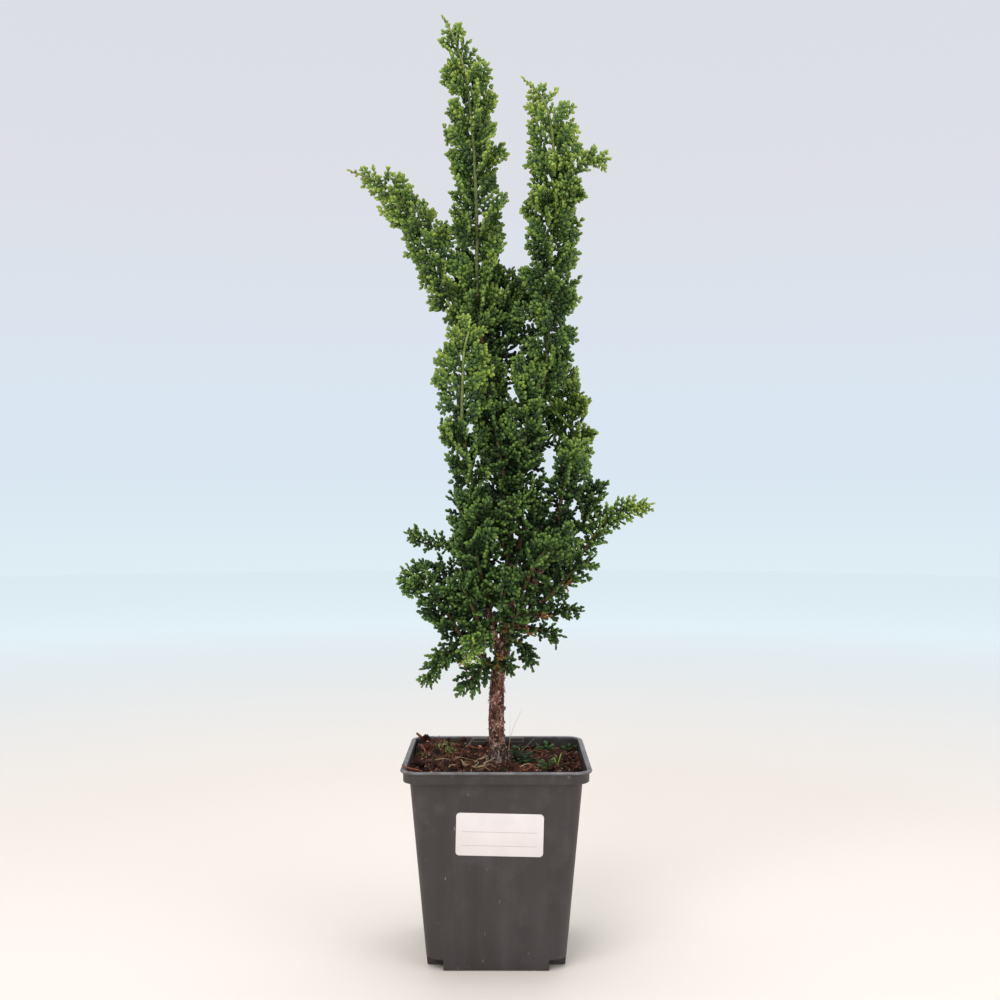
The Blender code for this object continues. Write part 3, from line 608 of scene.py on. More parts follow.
@dataclass(frozen=True)
class PotFinish:
    """Moulded grey plastic: matt, dusty in upright streaks, scuffed, and paler on the lip with wear and
    a painted highlight.
    """

    plates: tuple[Plate, ...]
    plate_middle: float
    back: Pair
    rubbed: float = 0.3 * MM
    plastic: Stops = (
        (0.35, (0.029, 0.023, 0.021)), (0.5, (0.038, 0.031, 0.030)),
        (0.65, (0.051, 0.043, 0.042)))
    dust: Colour = (0.22, 0.20, 0.20)
    lip: Colour = (0.30, 0.29, 0.30)
    lip_wear_and_highlight_heights: Pair = (0.1152, 0.1168)
    scratch: Colour = (0.30, 0.29, 0.29)
    splash: Colour = (0.42, 0.38, 0.33)
    bare: Colour = (0.34, 0.28, 0.25)

    def rubbed_edges(self, bench: NodeBench) -> Socket:
        """Find where the edges of the plates inside the back wall are rubbed pale.

        Args:
            bench: the material that takes the mask.

        Returns:
            A link to the mask.
        """
        x, y, z = (bench.axis(name) for name in "XYZ")
        back = bench.math("MULTIPLY", bench.math("GREATER_THAN", y, self.back[0]),
                          bench.math("LESS_THAN", y, self.back[1]))
        edges = []
        for plate in self.plates:
            across = bench.math("SUBTRACT", bench.away(x, plate.x), plate.width / 2)
            up = bench.math("SUBTRACT", bench.away(z, self.plate_middle), plate.height / 2)
            far = bench.math("ABSOLUTE", bench.math("MAXIMUM", across, up))
            edges.append(bench.math("LESS_THAN", far, self.rubbed))
        return bench.math("MULTIPLY", bench.math("MULTIPLY", bench.any_of(edges), back), 0.5)

    def build(self) -> Material:
        """Build the material.

        Returns:
            The material.
        """
        bench = NodeBench("moulded_grey_plastic")
        streaks = bench.noise(95.0, 3.0, bench.stretched((1.0, 1.0, 0.05)), 0.6)
        cloud = bench.noise(26.0, 4.0)
        height = bench.axis("Z")
        dusty = bench.math("MULTIPLY", bench.span(bench.noise(60.0, 5.0), 0.52, 0.70),
                           bench.span(height, 0.0, 0.117, 0.04, 0.12))
        colour = bench.mix(dusty, bench.ramp(bench.weighed(streaks, 0.55, cloud, 0.45),
                                             self.plastic), self.dust)
        # Partly wear and partly a painted highlight: the lip's flange and top edge are paler.
        lip = bench.math("MULTIPLY", bench.span(height, *self.lip_wear_and_highlight_heights),
                         bench.span(bench.noise(140.0, 5.0), 0.38, 0.66, 0.22, 0.60))
        colour = bench.mix(lip, colour, self.lip)
        slant = bench.node("Mapping", {
            0: bench.coords, "Scale": (1.0, 1.0, 0.22), "Rotation": (0.0, 0.5, 0.3)}).outputs[0]
        scratches = bench.span(bench.noise(520.0, 1.0, slant), 0.765, 0.79)
        splashes = bench.span(bench.cells(55.0), 0.0, 0.07, 1.0, 0.0)
        colour = bench.mix(bench.math("MULTIPLY", scratches, 0.45), colour, self.scratch)
        colour = bench.mix(bench.math("MULTIPLY", splashes, 0.35), colour, self.splash)
        colour = bench.mix(self.rubbed_edges(bench), colour, self.bare)
        relief = bench.bump(bench.noise(1800.0, 2.0), 0.06 * MM, 0.6,
                            bench.bump(streaks, 0.25 * MM, 0.3))
        return bench.wire(base_color=colour, roughness=bench.span(cloud, 0.3, 0.7, 0.46, 0.60),
                          normal=relief, specular_ior_level=0.45)


@dataclass(frozen=True)
class LabelFinish:
    """White sticker paper with two plain writing lines, each at its own height."""

    middle: Pair
    half_width: float
    turn: float
    line_heights: Pair
    line_thickness: float = 0.28 * MM
    paper: Stops = ((0.35, (0.72, 0.655, 0.635)), (0.65, (0.77, 0.705, 0.685)))
    ink: Colour = (0.35, 0.35, 0.37)

    def build(self) -> Material:
        """Build the material.

        Returns:
            The material.
        """
        bench = NodeBench("sticker_paper")
        centred = bench.node("VectorMath", {
            0: bench.coords, 1: (self.middle[0], 0.0, self.middle[1])}, operation="SUBTRACT")
        level = bench.node("Mapping", {
            0: centred.outputs[0], "Rotation": (0.0, -self.turn, 0.0)}).outputs[0]
        axes = bench.node("SeparateXYZ", {0: level}).outputs
        inside = bench.math("LESS_THAN", bench.math("ABSOLUTE", axes["X"]), self.half_width)
        lines = bench.any_of([
            bench.span(bench.away(axes["Z"], height), self.line_thickness * 0.4,
                       self.line_thickness, 0.55, 0.0) for height in self.line_heights])
        colour = bench.mix(bench.math("MULTIPLY", lines, inside),
                           bench.ramp(bench.noise(60.0), self.paper), self.ink)
        return bench.wire(base_color=colour, roughness=0.48, specular_ior_level=0.4,
                          normal=bench.bump(bench.noise(2400.0), 0.03 * MM, 0.5))


@dataclass(frozen=True)
class MossFinish:
    """Low moss: brown where it is old, olive and then pale green where it is fresh."""

    colours: Stops = (
        (0.0, (0.020, 0.013, 0.008)), (0.25, (0.035, 0.034, 0.012)),
        (0.5, (0.085, 0.100, 0.028)), (0.75, (0.190, 0.210, 0.065)),
        (1.0, (0.380, 0.390, 0.150)))

    def build(self) -> Material:
        """Build the material, which reads the attribute fresh.

        Returns:
            The material.
        """
        bench = NodeBench("moss")
        grain = bench.noise(420.0, roughness=0.65)
        tone = bench.math("ADD", bench.attribute("fresh"), bench.span(grain, 0.3, 0.7, -0.2, 0.2))
        return bench.wire(base_color=bench.ramp(tone, self.colours), roughness=0.85,
                          specular_ior_level=0.2, normal=bench.bump(grain, 0.4 * MM, 0.7))


@dataclass(frozen=True)
class PlainFinish:
    """A mottled finish between two colours, for grit, thin roots, dry stalks and bark strips."""

    name: str
    dark: Colour
    light: Colour
    roughness: float = 0.8
    scale: float = 500.0

    def build(self) -> Material:
        """Build the material.

        Returns:
            The material.
        """
        bench = NodeBench(self.name)
        value = bench.noise(self.scale, 4.0, roughness=0.65)
        colour = bench.ramp(value, ((0.32, self.dark), (0.68, self.light)))
        return bench.wire(base_color=colour, roughness=self.roughness,
                          normal=bench.bump(value, 0.3 * MM, 0.6), specular_ior_level=0.3)


@dataclass(frozen=True)
class FloorFinish:
    """A pale matt floor that brightens far away with painted light, a colour shift and a glow, so that
    it meets the surroundings.
    """

    near: Colour = (0.755, 0.69, 0.615)
    far: Colour = (0.74, 0.76, 0.77)
    glow: Colour = (0.165, 0.245, 0.25)
    reach: Pair = (0.5, 1.9)

    def build(self) -> Material:
        """Build the material.

        Returns:
            The material.
        """
        bench = NodeBench("pale_floor")
        away = bench.node("VectorMath", {0: bench.coords},
                          operation="LENGTH").outputs["Value"]
        share = bench.span(away, *self.reach)
        # Painted light: the colour shifts from near to far and the floor glows far away.
        colour = bench.mix(bench.math("ADD", share, bench.mottle(3.0, 0.02)), self.near, self.far)
        return bench.wire(base_color=colour, roughness=0.6, specular_ior_level=0.3,
                          emission_color=bench.mix(share, (0.0, 0.0, 0.0), self.glow),
                          emission_strength=1.0)


# Foliage


@dataclass(frozen=True)
class Branch:
    """One branch of foliage: its stem's route and how its leaves look.

    The routes are the ones that the CAD nodes follow, and the radii stay close to theirs.

    Attributes:
        name: its place on the tree, as in the CAD node's name.
        radius: how far its leaves reach from the stem, in millimetres.
        route: the stem's points, in millimetres.
        full_until: the share of the stem up to which the leaves keep their reach.
        at_base: their reach at the stem's foot, against the full one.
        fresh: how fresh they are at the foot and at the tip.
        dry_tip: how often a spray near the tip is dry.
        shows_stem: how often a spray in front is left out, so that the stem shows.
        droop: how far the sprays hang down.
        within: the branch whose piece this one is part of, or none.
        tip: the leaves' reach at the tip, against the full one.
        stem_from: the share of the stem from which it shows.
        open_tip: how much wider apart the sprays stand at the tip.
        dense: how densely they stand, against the usual.
        full_from: the share of the stem from which the leaves have their full reach.
        taper: how suddenly they get shorter.
        ripening: how late they take the tip's tone.
    """

    name: str
    radius: float
    route: tuple[Point, ...]
    full_until: float = 0.55
    at_base: float = 0.35
    fresh: Pair = (0.30, 0.42)
    dry_tip: float = 0.0
    shows_stem: float = 0.0
    droop: float = 0.0
    within: str = ""
    tip: float = 0.55
    stem_from: float = 0.1
    open_tip: float = 0.0
    dense: float = 1.0
    full_from: float = 0.22
    taper: float = 2.1
    ripening: float = 1.5

    def leaf_radius(self, share: float) -> float:
        """Return how far the leaves reach from the stem at a share of its length, in metres."""
        rise = self.at_base + (1 - self.at_base) * smooth_step(share / self.full_from)
        fall = max((share - self.full_until) / (1 - self.full_until), 0.0)
        return self.radius * MM * rise * max(1 - (1 - self.tip) * fall ** self.taper, 0.0)

    def tone(self, share: float) -> float:
        """Return how fresh the leaves are at a share of the stem's length."""
        return self.fresh[0] + (self.fresh[1] - self.fresh[0]) * share ** self.ripening


BRANCHES = (
    Branch("leader", 20.0, ((-10, 0, 373), (-12, 0, 400), (-12, 0, 430), (-13, 0, 466),
           (-15, 0, 499), (-19, 0, 529), (-25, 0, 550), (-31, 0, 562)), 0.42, 0.8, (0.48, 0.74),
           shows_stem=0.85, tip=-0.12, open_tip=0.8, dense=1.42),
    Branch("left_arm", 15.5, ((-20, 6, 376), (-30, 8, 401), (-42, 8, 430), (-56, 6, 452),
           (-71, 4, 465), (-87, 2, 471)), 0.4, 0.7, (0.54, 0.8), 0.25, 0.4, tip=0.02,
           stem_from=0.35, open_tip=0.4, droop=0.35, dense=1.3),
    Branch("right_spire", 21.0, ((27, -4, 331), (31, -4, 365), (32, -2, 401), (34, 0, 438),
           (35, 0, 472), (33, 0, 500), (27, 0, 517), (19, 0, 525)), 0.38, 0.75, (0.4, 0.88),
           shows_stem=0.85, tip=-0.2, stem_from=0.6, open_tip=0.7),
    Branch("right_hook", 6.5, ((34, 0, 440), (41, -13, 451), (45, -15, 464), (54, -13, 475),
           (64, -11, 475)), 0.75, 0.8, (0.48, 0.8), within="right_spire"),
    Branch("front_spire", 17.5, ((-10, -16, 266), (-16, -22, 290), (-20, -24, 315), (-20, -24, 339),
           (-19, -24, 359), (-16, -24, 371)), 0.55, 0.5, (0.4, 0.78), shows_stem=0.9, tip=0.38,
           stem_from=0.35, dense=1.15),
    Branch("bridge", 17, ((0, 6, 341), (3, 8, 363), (5, 8, 383), (9, 8, 399)), 0.65, 0.6, tip=0.8),
    Branch("heart_left", 14, ((6, -8, 276), (2, -16, 298), (-1, -14, 322), (-2, -10, 344)), 0.65,
           0.5, (0.36, 0.44)),
    Branch("heart_right", 14.8, ((11, -8, 279), (16, -14, 298), (18, -18, 323), (18, -18, 347)),
           0.65, 0.6, (0.38, 0.5)),
    Branch("heart_low", 13, ((12, -6, 240), (17, -16, 254), (21, -18, 270), (22, -18, 283)), 0.6,
           0.5),
    Branch("back_spire", 15, ((44, 18, 271), (47, 20, 295), (47, 20, 318), (44, 18, 336),
           (41, 16, 349)), 0.5, 0.6, (0.54, 0.66), dense=1.1),
    Branch("blue_clump", 13.5, ((37, -8, 258), (39, -18, 274), (43, -24, 288), (46, -26, 300)), 0.6,
           fresh=(0.2, 0.62)),
    Branch("right_shoulder", 11.5, ((39, 8, 241), (53, 4, 257), (57, 2, 269), (60, 0, 279)), 0.55,
           0.5, (0.4, 0.44), tip=0.35),
    Branch("right_sprig", 8, ((49, -6, 235), (59, -10, 250), (67, -10, 260), (78, -10, 266),
           (91, -10, 268)), 0.6, 0.5, (0.42, 0.8), tip=0.3, droop=0.2),
    Branch("right_pad", 13, ((16, -14, 218), (22, -28, 232), (30, -36, 243), (40, -38, 249)), 0.6,
           fresh=(0.38, 0.46)),
    Branch("right_pad_low", 9.5, ((29, -6, 210), (38, -16, 221), (47, -22, 230), (56, -24, 236)),
           0.6, fresh=(0.36, 0.44), tip=0.35),
    Branch("left_flank", 16.5, ((-3, -12, 207), (-10, -24, 230), (-13, -26, 252), (-15, -30, 270)),
           0.65, 0.5, (0.36, 0.42)),
    Branch("left_flank_back", 9.5, ((-6, 2, 234), (-18, 4, 249), (-23, 6, 268), (-24, 8, 284)),
           0.35, fresh=(0.34, 0.4), tip=0.2),
    Branch("front_fan", 11, ((4, -12, 200), (3, -26, 214), (4, -34, 226)), 0.6, fresh=(0.34, 0.42)),
    Branch("front_twig", 8, ((7, -8, 235), (3, -18, 249), (7, -28, 263), (16, -32, 271)), 0.5,
           fresh=(0.4, 0.48)),
    Branch("left_sprig", 6.5, ((-17, 4, 234), (-27, 6, 243), (-41, 8, 246), (-53, 8, 250)), 0.7,
           fresh=(0.42, 0.5)),
    Branch("left_bough", 14.0, ((-20, -6, 186), (-30, -12, 204), (-42, -14, 220), (-54, -14, 229)),
           0.5, 0.8, (0.28, 0.58), tip=0.25, droop=0.3, dense=1.2),
    Branch("left_bough_in", 11, ((-14, -4, 188), (-21, -4, 207), (-28, -2, 221), (-37, 0, 231)),
           0.6, 0.5, (0.26, 0.34)),
    Branch("left_tail", 7, ((-23, 0, 178), (-31, 0, 177), (-38, -2, 171), (-42, -4, 161)), 0.7, 0.6,
           (0.42, 0.54), droop=0.3, dense=1.4),
    Branch("bright_tail", 8, ((-6, -16, 190), (-11, -26, 190), (-14, -32, 186), (-15, -36, 180)),
           0.6, fresh=(0.5, 0.74), droop=0.5),
    Branch("low_clump", 10, ((-4, -6, 173), (-9, -12, 170), (-14, -14, 166), (-17, -14, 160)), 0.6,
           fresh=(0.32, 0.42), droop=0.2, dense=1.5),
    Branch("trunk_tuft", 5, ((6, -7, 174), (7, -12, 173), (8, -16, 169)), 0.6, fresh=(0.32, 0.4),
           droop=0.4, dense=1.2),
    Branch("right_drop", 5.5, ((13, 2, 185), (17, 4, 181), (20, 6, 175), (21, 8, 169)), 0.6, 0.6,
           (0.34, 0.42), droop=0.5, dense=1.2),
    Branch("right_low", 7, ((19, 6, 201), (30, 8, 202), (40, 10, 204), (50, 10, 202)), 0.6, 0.6,
           (0.34, 0.42), tip=0.4),
    Branch("right_low_tip", 5.5, ((22, 2, 193), (30, 4, 191), (36, 4, 189), (36, 4, 184)), 0.5, 0.6,
           (0.34, 0.42), droop=0.2, tip=0.3),
    Branch("right_low_back", 13, ((14, 10, 192), (22, 18, 206), (31, 22, 218), (37, 24, 229)), 0.65,
           fresh=(0.24, 0.34)),
    Branch("front_low", 10, ((7, -8, 187), (9, -18, 196), (13, -24, 205), (17, -28, 210)), 0.6,
           fresh=(0.32, 0.42)),
    Branch("left_low", 10.5, ((-9, -12, 191), (-12, -19, 202), (-17, -24, 213), (-20, -28, 221)),
           0.6, fresh=(0.34, 0.42)),
    Branch("back_low_left", 13, ((-2, 10, 194), (-9, 24, 208), (-14, 32, 225), (-17, 36, 242)),
           0.65, fresh=(0.28, 0.4)),
    Branch("back_low_right", 14.5, ((11, 12, 209), (20, 28, 227), (26, 36, 245), (29, 38, 262)),
           0.65, fresh=(0.28, 0.42)),
    Branch("back_mid", 14.5, ((4, 12, 246), (2, 26, 268), (2, 34, 293), (5, 36, 313)), 0.65,
           fresh=(0.3, 0.44)),
    Branch("back_mid_right", 13, ((11, 12, 283), (22, 22, 302), (27, 26, 324), (26, 26, 341)), 0.65,
           fresh=(0.3, 0.46)),
    Branch("back_high", 13, ((-3, 12, 320), (-7, 20, 343), (-8, 22, 368), (-5, 20, 385)), 0.65,
           fresh=(0.32, 0.48)),
)


@dataclass(frozen=True)
class Look:
    """How a spray's leafy tips look: how fresh, with painted shade deeper in the spray, how dry, and
    their size against the usual one.
    """

    tone: float
    dry: float = 0.0
    size: float = 1.0

    def lighter(self, by: float) -> "Look":
        """Return the same look, fresher by a step, or darker by it where the step paints shade."""
        return Look(self.tone + by, self.dry, self.size)


@dataclass(frozen=True)
class Habit:
    """How a spray grows: ranges of shares and degrees that its tips and side sprays draw from."""

    last_length: Pair = (0.74, 0.94)
    last_width: Pair = (0.90, 1.12)
    last_tone: Pair = (-0.05, 0.11)
    sideways: Pair = (-0.12, 0.12)
    upwards: Pair = (0.0, 0.16)
    joint_length: Pair = (0.95, 1.1)
    side_start: Pair = (0.4, 0.9)
    side_reach: Pair = (0.82, 1.08)
    side_turn: Pair = (34, 50)
    side_roll: Pair = (-20, 20)
    side_cup: Pair = (0.0, 0.22)
    side_tone: Pair = (-0.13, 0.0)


@dataclass
class Foliage:
    """Every branch's flat sprays of scale-leaved tips, and the young stems they grow on."""

    lobe_length: float = 4.3 * MM
    lobe_width: float = 2.15 * MM
    lobe_thickness: float = 1.75 * MM
    node_step: float = 1.70 * MM
    spray_spacing: float = 1.42 * MM
    shortest_spray: float = 2.4 * MM
    stem_radius: float = 1.2 * MM
    stem_step: float = 1.0 * MM
    twig_spray: float = 7.0 * MM
    side_share: float = 0.44
    side_limit: float = 5.8 * MM
    slender_below: float = 9.0
    clump_size: float = 6 * MM
    habit: Habit = Habit()
    seed: int = 2311
    inner_reach: Pair = (7.0 * MM, 11.0 * MM)
    inner_spacing: float = 1.95 * MM
    inner_tone: float = 0.18
    twigs: dict[str, Route] = field(default_factory=dict)
    lobe: Shape = field(init=False)
    joint: Shape = field(init=False)
    leaf: Material = field(init=False)

    def __post_init__(self) -> None:
        """Make the leafy tip, the length of stem and the finish that every spray shares."""
        self.lobe = self.make_lobe()
        self.joint = self.make_joint()
        self.leaf = LeafFinish().build()

    def make_lobe(self) -> Shape:
        """Return a blunt leafy finger along +Y, slim at its root and full near its end."""
        bm = bmesh.new()
        bmesh.ops.create_uvsphere(bm, u_segments=6, v_segments=3, radius=0.5)
        bmesh.ops.rotate(bm, verts=bm.verts, matrix=Matrix.Rotation(-math.pi / 2, 3, "X"))
        bmesh.ops.translate(bm, verts=bm.verts, vec=(0, 0.5, 0))
        for vert in bm.verts:
            slim = 0.84 + 0.34 * smooth_step(vert.co.y / 0.85)
            vert.co.x *= slim
            vert.co.z *= slim
        return Shape.from_bmesh("leafy_tip", bm)

    def make_joint(self) -> Shape:
        """Return a short closed length of stem along +Y, with six sides."""
        bm = bmesh.new()
        bmesh.ops.create_cone(bm, cap_ends=True, segments=6, radius1=0.5, radius2=0.5, depth=1.0)
        bmesh.ops.rotate(bm, verts=bm.verts, matrix=Matrix.Rotation(-math.pi / 2, 3, "X"))
        bmesh.ops.translate(bm, verts=bm.verts, vec=(0, 0.5, 0))
        return Shape.from_bmesh("stem_joint", bm)

    def add_lobe(self, leaves: Gathering, root: Vector, way: Vector, facing: Vector,
                 size: Pair, look: Look) -> None:
        """Add one leafy tip.

        Args:
            leaves: the piece being gathered.
            root: where it starts.
            way: the direction it points in.
            facing: the direction its flat side faces.
            size: its length, and its width against the usual one.
            look: how its spray looks.
        """
        length, width = size[0], size[1] * look.size
        scale = Vector((self.lobe_width * width, length, self.lobe_thickness * width))
        # Painted light: each tip is darker at its root, as painted shade, and lighter at its end, as a
        # painted highlight over the paler fresh growth there.
        leaves.add(self.lobe, pose(root, way, facing, scale),
                   (look.tone - 0.20, look.tone + 0.16), look.dry)

    def grow(self, leaves: Gathering, root: Vector, way: Vector, facing: Vector, length: float,
             look: Look, rng: Random, depth: int = 0) -> None:
        """Grow a flat spray: a row of leafy joints with side sprays, each a smaller one.

        Args:
            leaves: the piece being gathered.
            root: where the spray starts.
            way: the direction it sets out in.
            facing: the direction its flat side faces.
            length: how long it is.
            look: how its tips look.
            rng: the branch's own random numbers.
            depth: 0 for a spray on the stem, 1 for one on its side.
        """
        habit = self.habit
        tip, step = self.lobe_length * look.size, self.node_step * look.size
        if length < tip * 1.15 or depth > 1:
            self.add_lobe(leaves, root, way, facing,
                          (max(length, tip * rng.uniform(*habit.last_length)),
                           rng.uniform(*habit.last_width)),
                          look.lighter(rng.uniform(*habit.last_tone)))
            return
        bend = (way.cross(facing) * rng.uniform(*habit.sideways)
                + facing * rng.uniform(*habit.upwards))
        place, side, gone, covered = root.copy(), rng.choice((-1, 1)), 0.0, 0.0
        while gone < length - tip * 0.45:
            if gone >= covered:
                # Painted shade: joints near the spray's root are darker, lighter towards its end.
                self.add_lobe(leaves, place, way, facing,
                              (tip * rng.uniform(*habit.joint_length), 0.78 + 0.16 * depth),
                              look.lighter(-0.24 + 0.26 * gone / length))
                covered = gone + step * (1.5 + 0.9 * depth)
            start = place + way * step * rng.uniform(*habit.side_start)
            early = 0.30 + 0.70 * smooth_step((gone + step) / (0.45 * length))
            round_end = math.sqrt(max(1 - (gone / length) ** 2, 0.0))
            reach = min(self.side_share * length * round_end * early,
                        (length - gone) * 1.2 + tip * 0.3) * rng.uniform(*habit.side_reach)
            turn = side * math.radians(rng.uniform(*habit.side_turn))
            out = Matrix.Rotation(turn, 3, facing) @ way
            roll = Matrix.Rotation(math.radians(rng.uniform(*habit.side_roll)), 3, out)
            cup = (out + facing * rng.uniform(*habit.side_cup)).normalized()
            # Painted shade: side sprays near the spray's root are darker.
            tone = rng.uniform(*habit.side_tone) + 0.16 * gone / length
            self.grow(leaves, start, cup, roll @ facing, min(reach, self.side_limit),
                      look.lighter(tone), rng, depth + 1)
            side = -side
            place = place + way * step
            way = (way + bend * look.size).normalized()
            facing = (facing - way * facing.dot(way)).normalized()
            gone += step
        self.add_lobe(leaves, place, way, facing, (tip * 0.9, 1.0), look.lighter(0.10))

    def dress(self, branch: Branch, leaves: Gathering, stems: Gathering) -> None:
        """Grow one branch's sprays all round its stem, and the stem itself.

        Args:
            branch: the branch.
            leaves: the piece that takes its sprays.
            stems: the piece that takes its stem.
        """
        rng = Random(f"{self.seed} {branch.name}")
        route = smooth_route(to_metres(branch.route), self.stem_step)
        ways = directions(route)
        last = len(route) - 1
        side = side_of(ways[0])
        angle = rng.uniform(0, math.tau)
        slender = branch.radius < self.slender_below
        size = 0.90 if slender else 1.0
        self.add_stem(branch, route, ways, stems, 0.75 if slender else 1.0)
        place = 0.0
        while place <= last - 1:
            i = int(place)
            share = place / last
            way = ways[i]
            side = (side - way * side.dot(way)).normalized()
            angle += GOLDEN_ANGLE + rng.uniform(-0.22, 0.22)
            outward = Matrix.Rotation(angle, 3, way) @ side
            lean = math.radians(rng.uniform(4, 34) + 24 * share ** 4)
            sprout = (outward * math.cos(lean) + way * math.sin(lean)
                      - UP * branch.droop * 0.5).normalized()
            clump = 0.5 + 0.95 * noise.noise(route[i] / self.clump_size + outward * 0.9)
            clump = min(max(clump, 0.0), 1.0)
            reach = branch.leaf_radius(share) / max(math.cos(lean), 0.6) * (0.80 + 0.22 * clump)
            young = size * (1 - 0.28 * share ** 5)
            place += (self.spray_spacing / self.stem_step * rng.uniform(0.82, 1.18)
                      * (0.62 if slender else 1.0 + branch.open_tip * share ** 3)
                      / branch.dense)
            if (outward.y < -0.62 and share > branch.stem_from
                    and rng.random() < branch.shows_stem):
                continue
            turn = rng.choice((-1, 1)) * rng.uniform(35 if branch.shows_stem else 0, 85)
            facing = Matrix.Rotation(math.radians(turn), 3, sprout) @ way
            dry = 0.0
            if branch.dry_tip and share > 0.86 and rng.random() < branch.dry_tip:
                dry = rng.uniform(0.3, 0.8)
            self.grow(leaves, route[i], sprout, facing, max(reach, self.shortest_spray),
                      Look(branch.tone(share) + (clump - 0.5) * 0.14, dry, young), rng)
        self.grow(leaves, route[-4], ways[-1], side_of(ways[-1]), self.lobe_length * 1.25,
                  Look(branch.tone(1.0) + 0.04, branch.dry_tip * 0.6, size * 0.8), rng, 1)
        self.dress_twig(branch, leaves, rng)

    def dress_twig(self, branch: Branch, leaves: Gathering, rng: Random) -> None:
        """Grow short, dark sprays on the twig that carries one branch, if it has one.

        Args:
            branch: the branch.
            leaves: the piece that takes the sprays.
            rng: the branch's own random numbers.
        """
        twig = self.twigs.get(branch.name)
        if not twig:
            return
        ways = directions(twig)
        for place, way in list(zip(twig, ways))[2:]:
            for _ in range(rng.choice((1, 2))):
                outward = Matrix.Rotation(rng.uniform(0, math.tau), 3, way) @ side_of(way)
                sprout = (outward + way * rng.uniform(0.1, 0.7)).normalized()
                self.grow(leaves, place, sprout, way, self.twig_spray * rng.uniform(0.7, 1.1),
                          Look(branch.fresh[0] - 0.04), rng)

    def build_inner(self, routes: list[Route]) -> Piece:
        """Build the short, dark sprays that grow on the wood inside the tree.

        Args:
            routes: the lengths of trunk and limb that carry them.

        Returns:
            The finished piece.
        """
        rng = Random(self.seed + 5)
        leaves = Gathering()
        for route in routes:
            ways = directions(route)
            angle, gap = rng.uniform(0, math.tau), 0.0
            for i in range(1, len(route)):
                gap += (route[i] - route[i - 1]).length
                if gap < self.inner_spacing:
                    continue
                gap = 0.0
                angle += GOLDEN_ANGLE + rng.uniform(-0.4, 0.4)
                outward = Matrix.Rotation(angle, 3, ways[i]) @ side_of(ways[i])
                sprout = (outward + ways[i] * rng.uniform(0.1, 0.8)).normalized()
                facing = Matrix.Rotation(math.radians(rng.uniform(-60, 60)), 3, sprout) @ ways[i]
                self.grow(leaves, route[i], sprout, facing, rng.uniform(*self.inner_reach),
                          Look(self.inner_tone + rng.uniform(-0.04, 0.06)), rng)
        return leaves.finish("leaves_inner", self.leaf, "leaf")

    def build_dead(self, twigs: list[Route]) -> Piece:
        """Build the dead, orange-brown sprigs that hang about the trunk.

        Args:
            twigs: the thin twigs that end in them.

        Returns:
            The finished piece.
        """
        rng = Random(self.seed + 9)
        dead = Gathering()
        for twig in twigs:
            way = (twig[-1] - twig[-2]).normalized()
            for _ in range(4):
                sprout = (way + Vector([rng.uniform(-0.9, 0.9) for _ in range(3)])
                          - UP * 0.3).normalized()
                self.grow(dead, twig[-1], sprout, side_of(sprout), rng.uniform(3.0, 6.0) * MM,
                          Look(0.2, rng.uniform(0.6, 0.95), 0.66), rng)
        return dead.finish("dead_sprigs", self.leaf, "leaf")

    def add_stem(self, branch: Branch, route: Route, ways: Route,
                 stems: Gathering, slim: float) -> None:
        """Add the joints of one branch's stem, slimmer and greener towards its tip.

        Args:
            branch: the branch.
            route: the stem's points.
            ways: its direction at each of them.
            stems: the piece that takes the joints.
            slim: its width against the usual one.
        """
        last = len(route) - 1
        green = branch.shows_stem or branch.within
        for i in range(0, last - 2, 3):
            share = i / last
            width = 2 * self.stem_radius * slim * (1.15 - 0.65 * share)
            joint = route[i + 3] - route[i]
            tone = 0.5 + 0.45 * share if green else 0.3 + 0.5 * share
            stems.add(self.joint, pose(route[i], joint.normalized(), side_of(ways[i]),
                                       Vector((width, joint.length * 1.25, width))),
                      (tone, tone + 0.02))

    def build(self) -> list[Piece]:
        """Build one piece for each branch's CAD node, and one of all the young stems.

        Returns:
            The finished pieces.
        """
        stems = Gathering()
        pieces = []
        for branch in BRANCHES:
            if branch.within:
                continue
            leaves = Gathering()
            for grown in (branch, *(guest for guest in BRANCHES if guest.within == branch.name)):
                self.dress(grown, leaves, stems)
            piece = leaves.finish(f"leaves_{branch.name}", self.leaf, "leaf")
            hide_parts(f"plume_{branch.name}")
            pieces.append(piece)
        return pieces + [stems.finish("young_stems", ShootFinish().build(), "bark")]


# Wood


@dataclass(frozen=True)
class Limb:
    """A trunk or limb: its route and its radii at both ends, in millimetres."""

    route: tuple[Point, ...]
    start: float
    end: float


TRUNK = Limb(((1, 0, 85), (1, 0, 109), (0, 0, 128), (0, 0, 149), (1, 0, 167), (5, 1, 184),
              (8, 2, 210), (8, 2, 240), (6, 2, 271), (3, 2, 301), (-2, 2, 332), (-7, 0, 356),
              (-9, 0, 371)), 5.0, 1.1)
LIMBS = (
    Limb(((2, -1, 177), (-4, -6, 197), (-5, -8, 217), (-6, -10, 241), (-9, -14, 264)), 2.6, 1.3),
    Limb(((6, 2, 186), (18, 10, 210), (30, 14, 232), (41, 16, 250), (44, 17, 268)), 2.8, 1.3),
    Limb(((7, 2, 259), (14, -1, 284), (21, -3, 310), (26, -4, 330)), 2.0, 1.2),
    Limb(((-5, 0, 348), (-12, 4, 362), (-19, 6, 373)), 1.6, 1.2),
    Limb(((1, 0, 166), (-10, -4, 177), (-18, -6, 184)), 2.0, 1.1),
)


DEAD_SPRIGS = ((2.7, -13, 178), (-13, -14, 165.5), (5, -17, 195), (17, -16, 192),
               (27, -14, 201), (41, -20, 221), (-20, -10, 175), (1, -9, 170), (9, -9, 186))


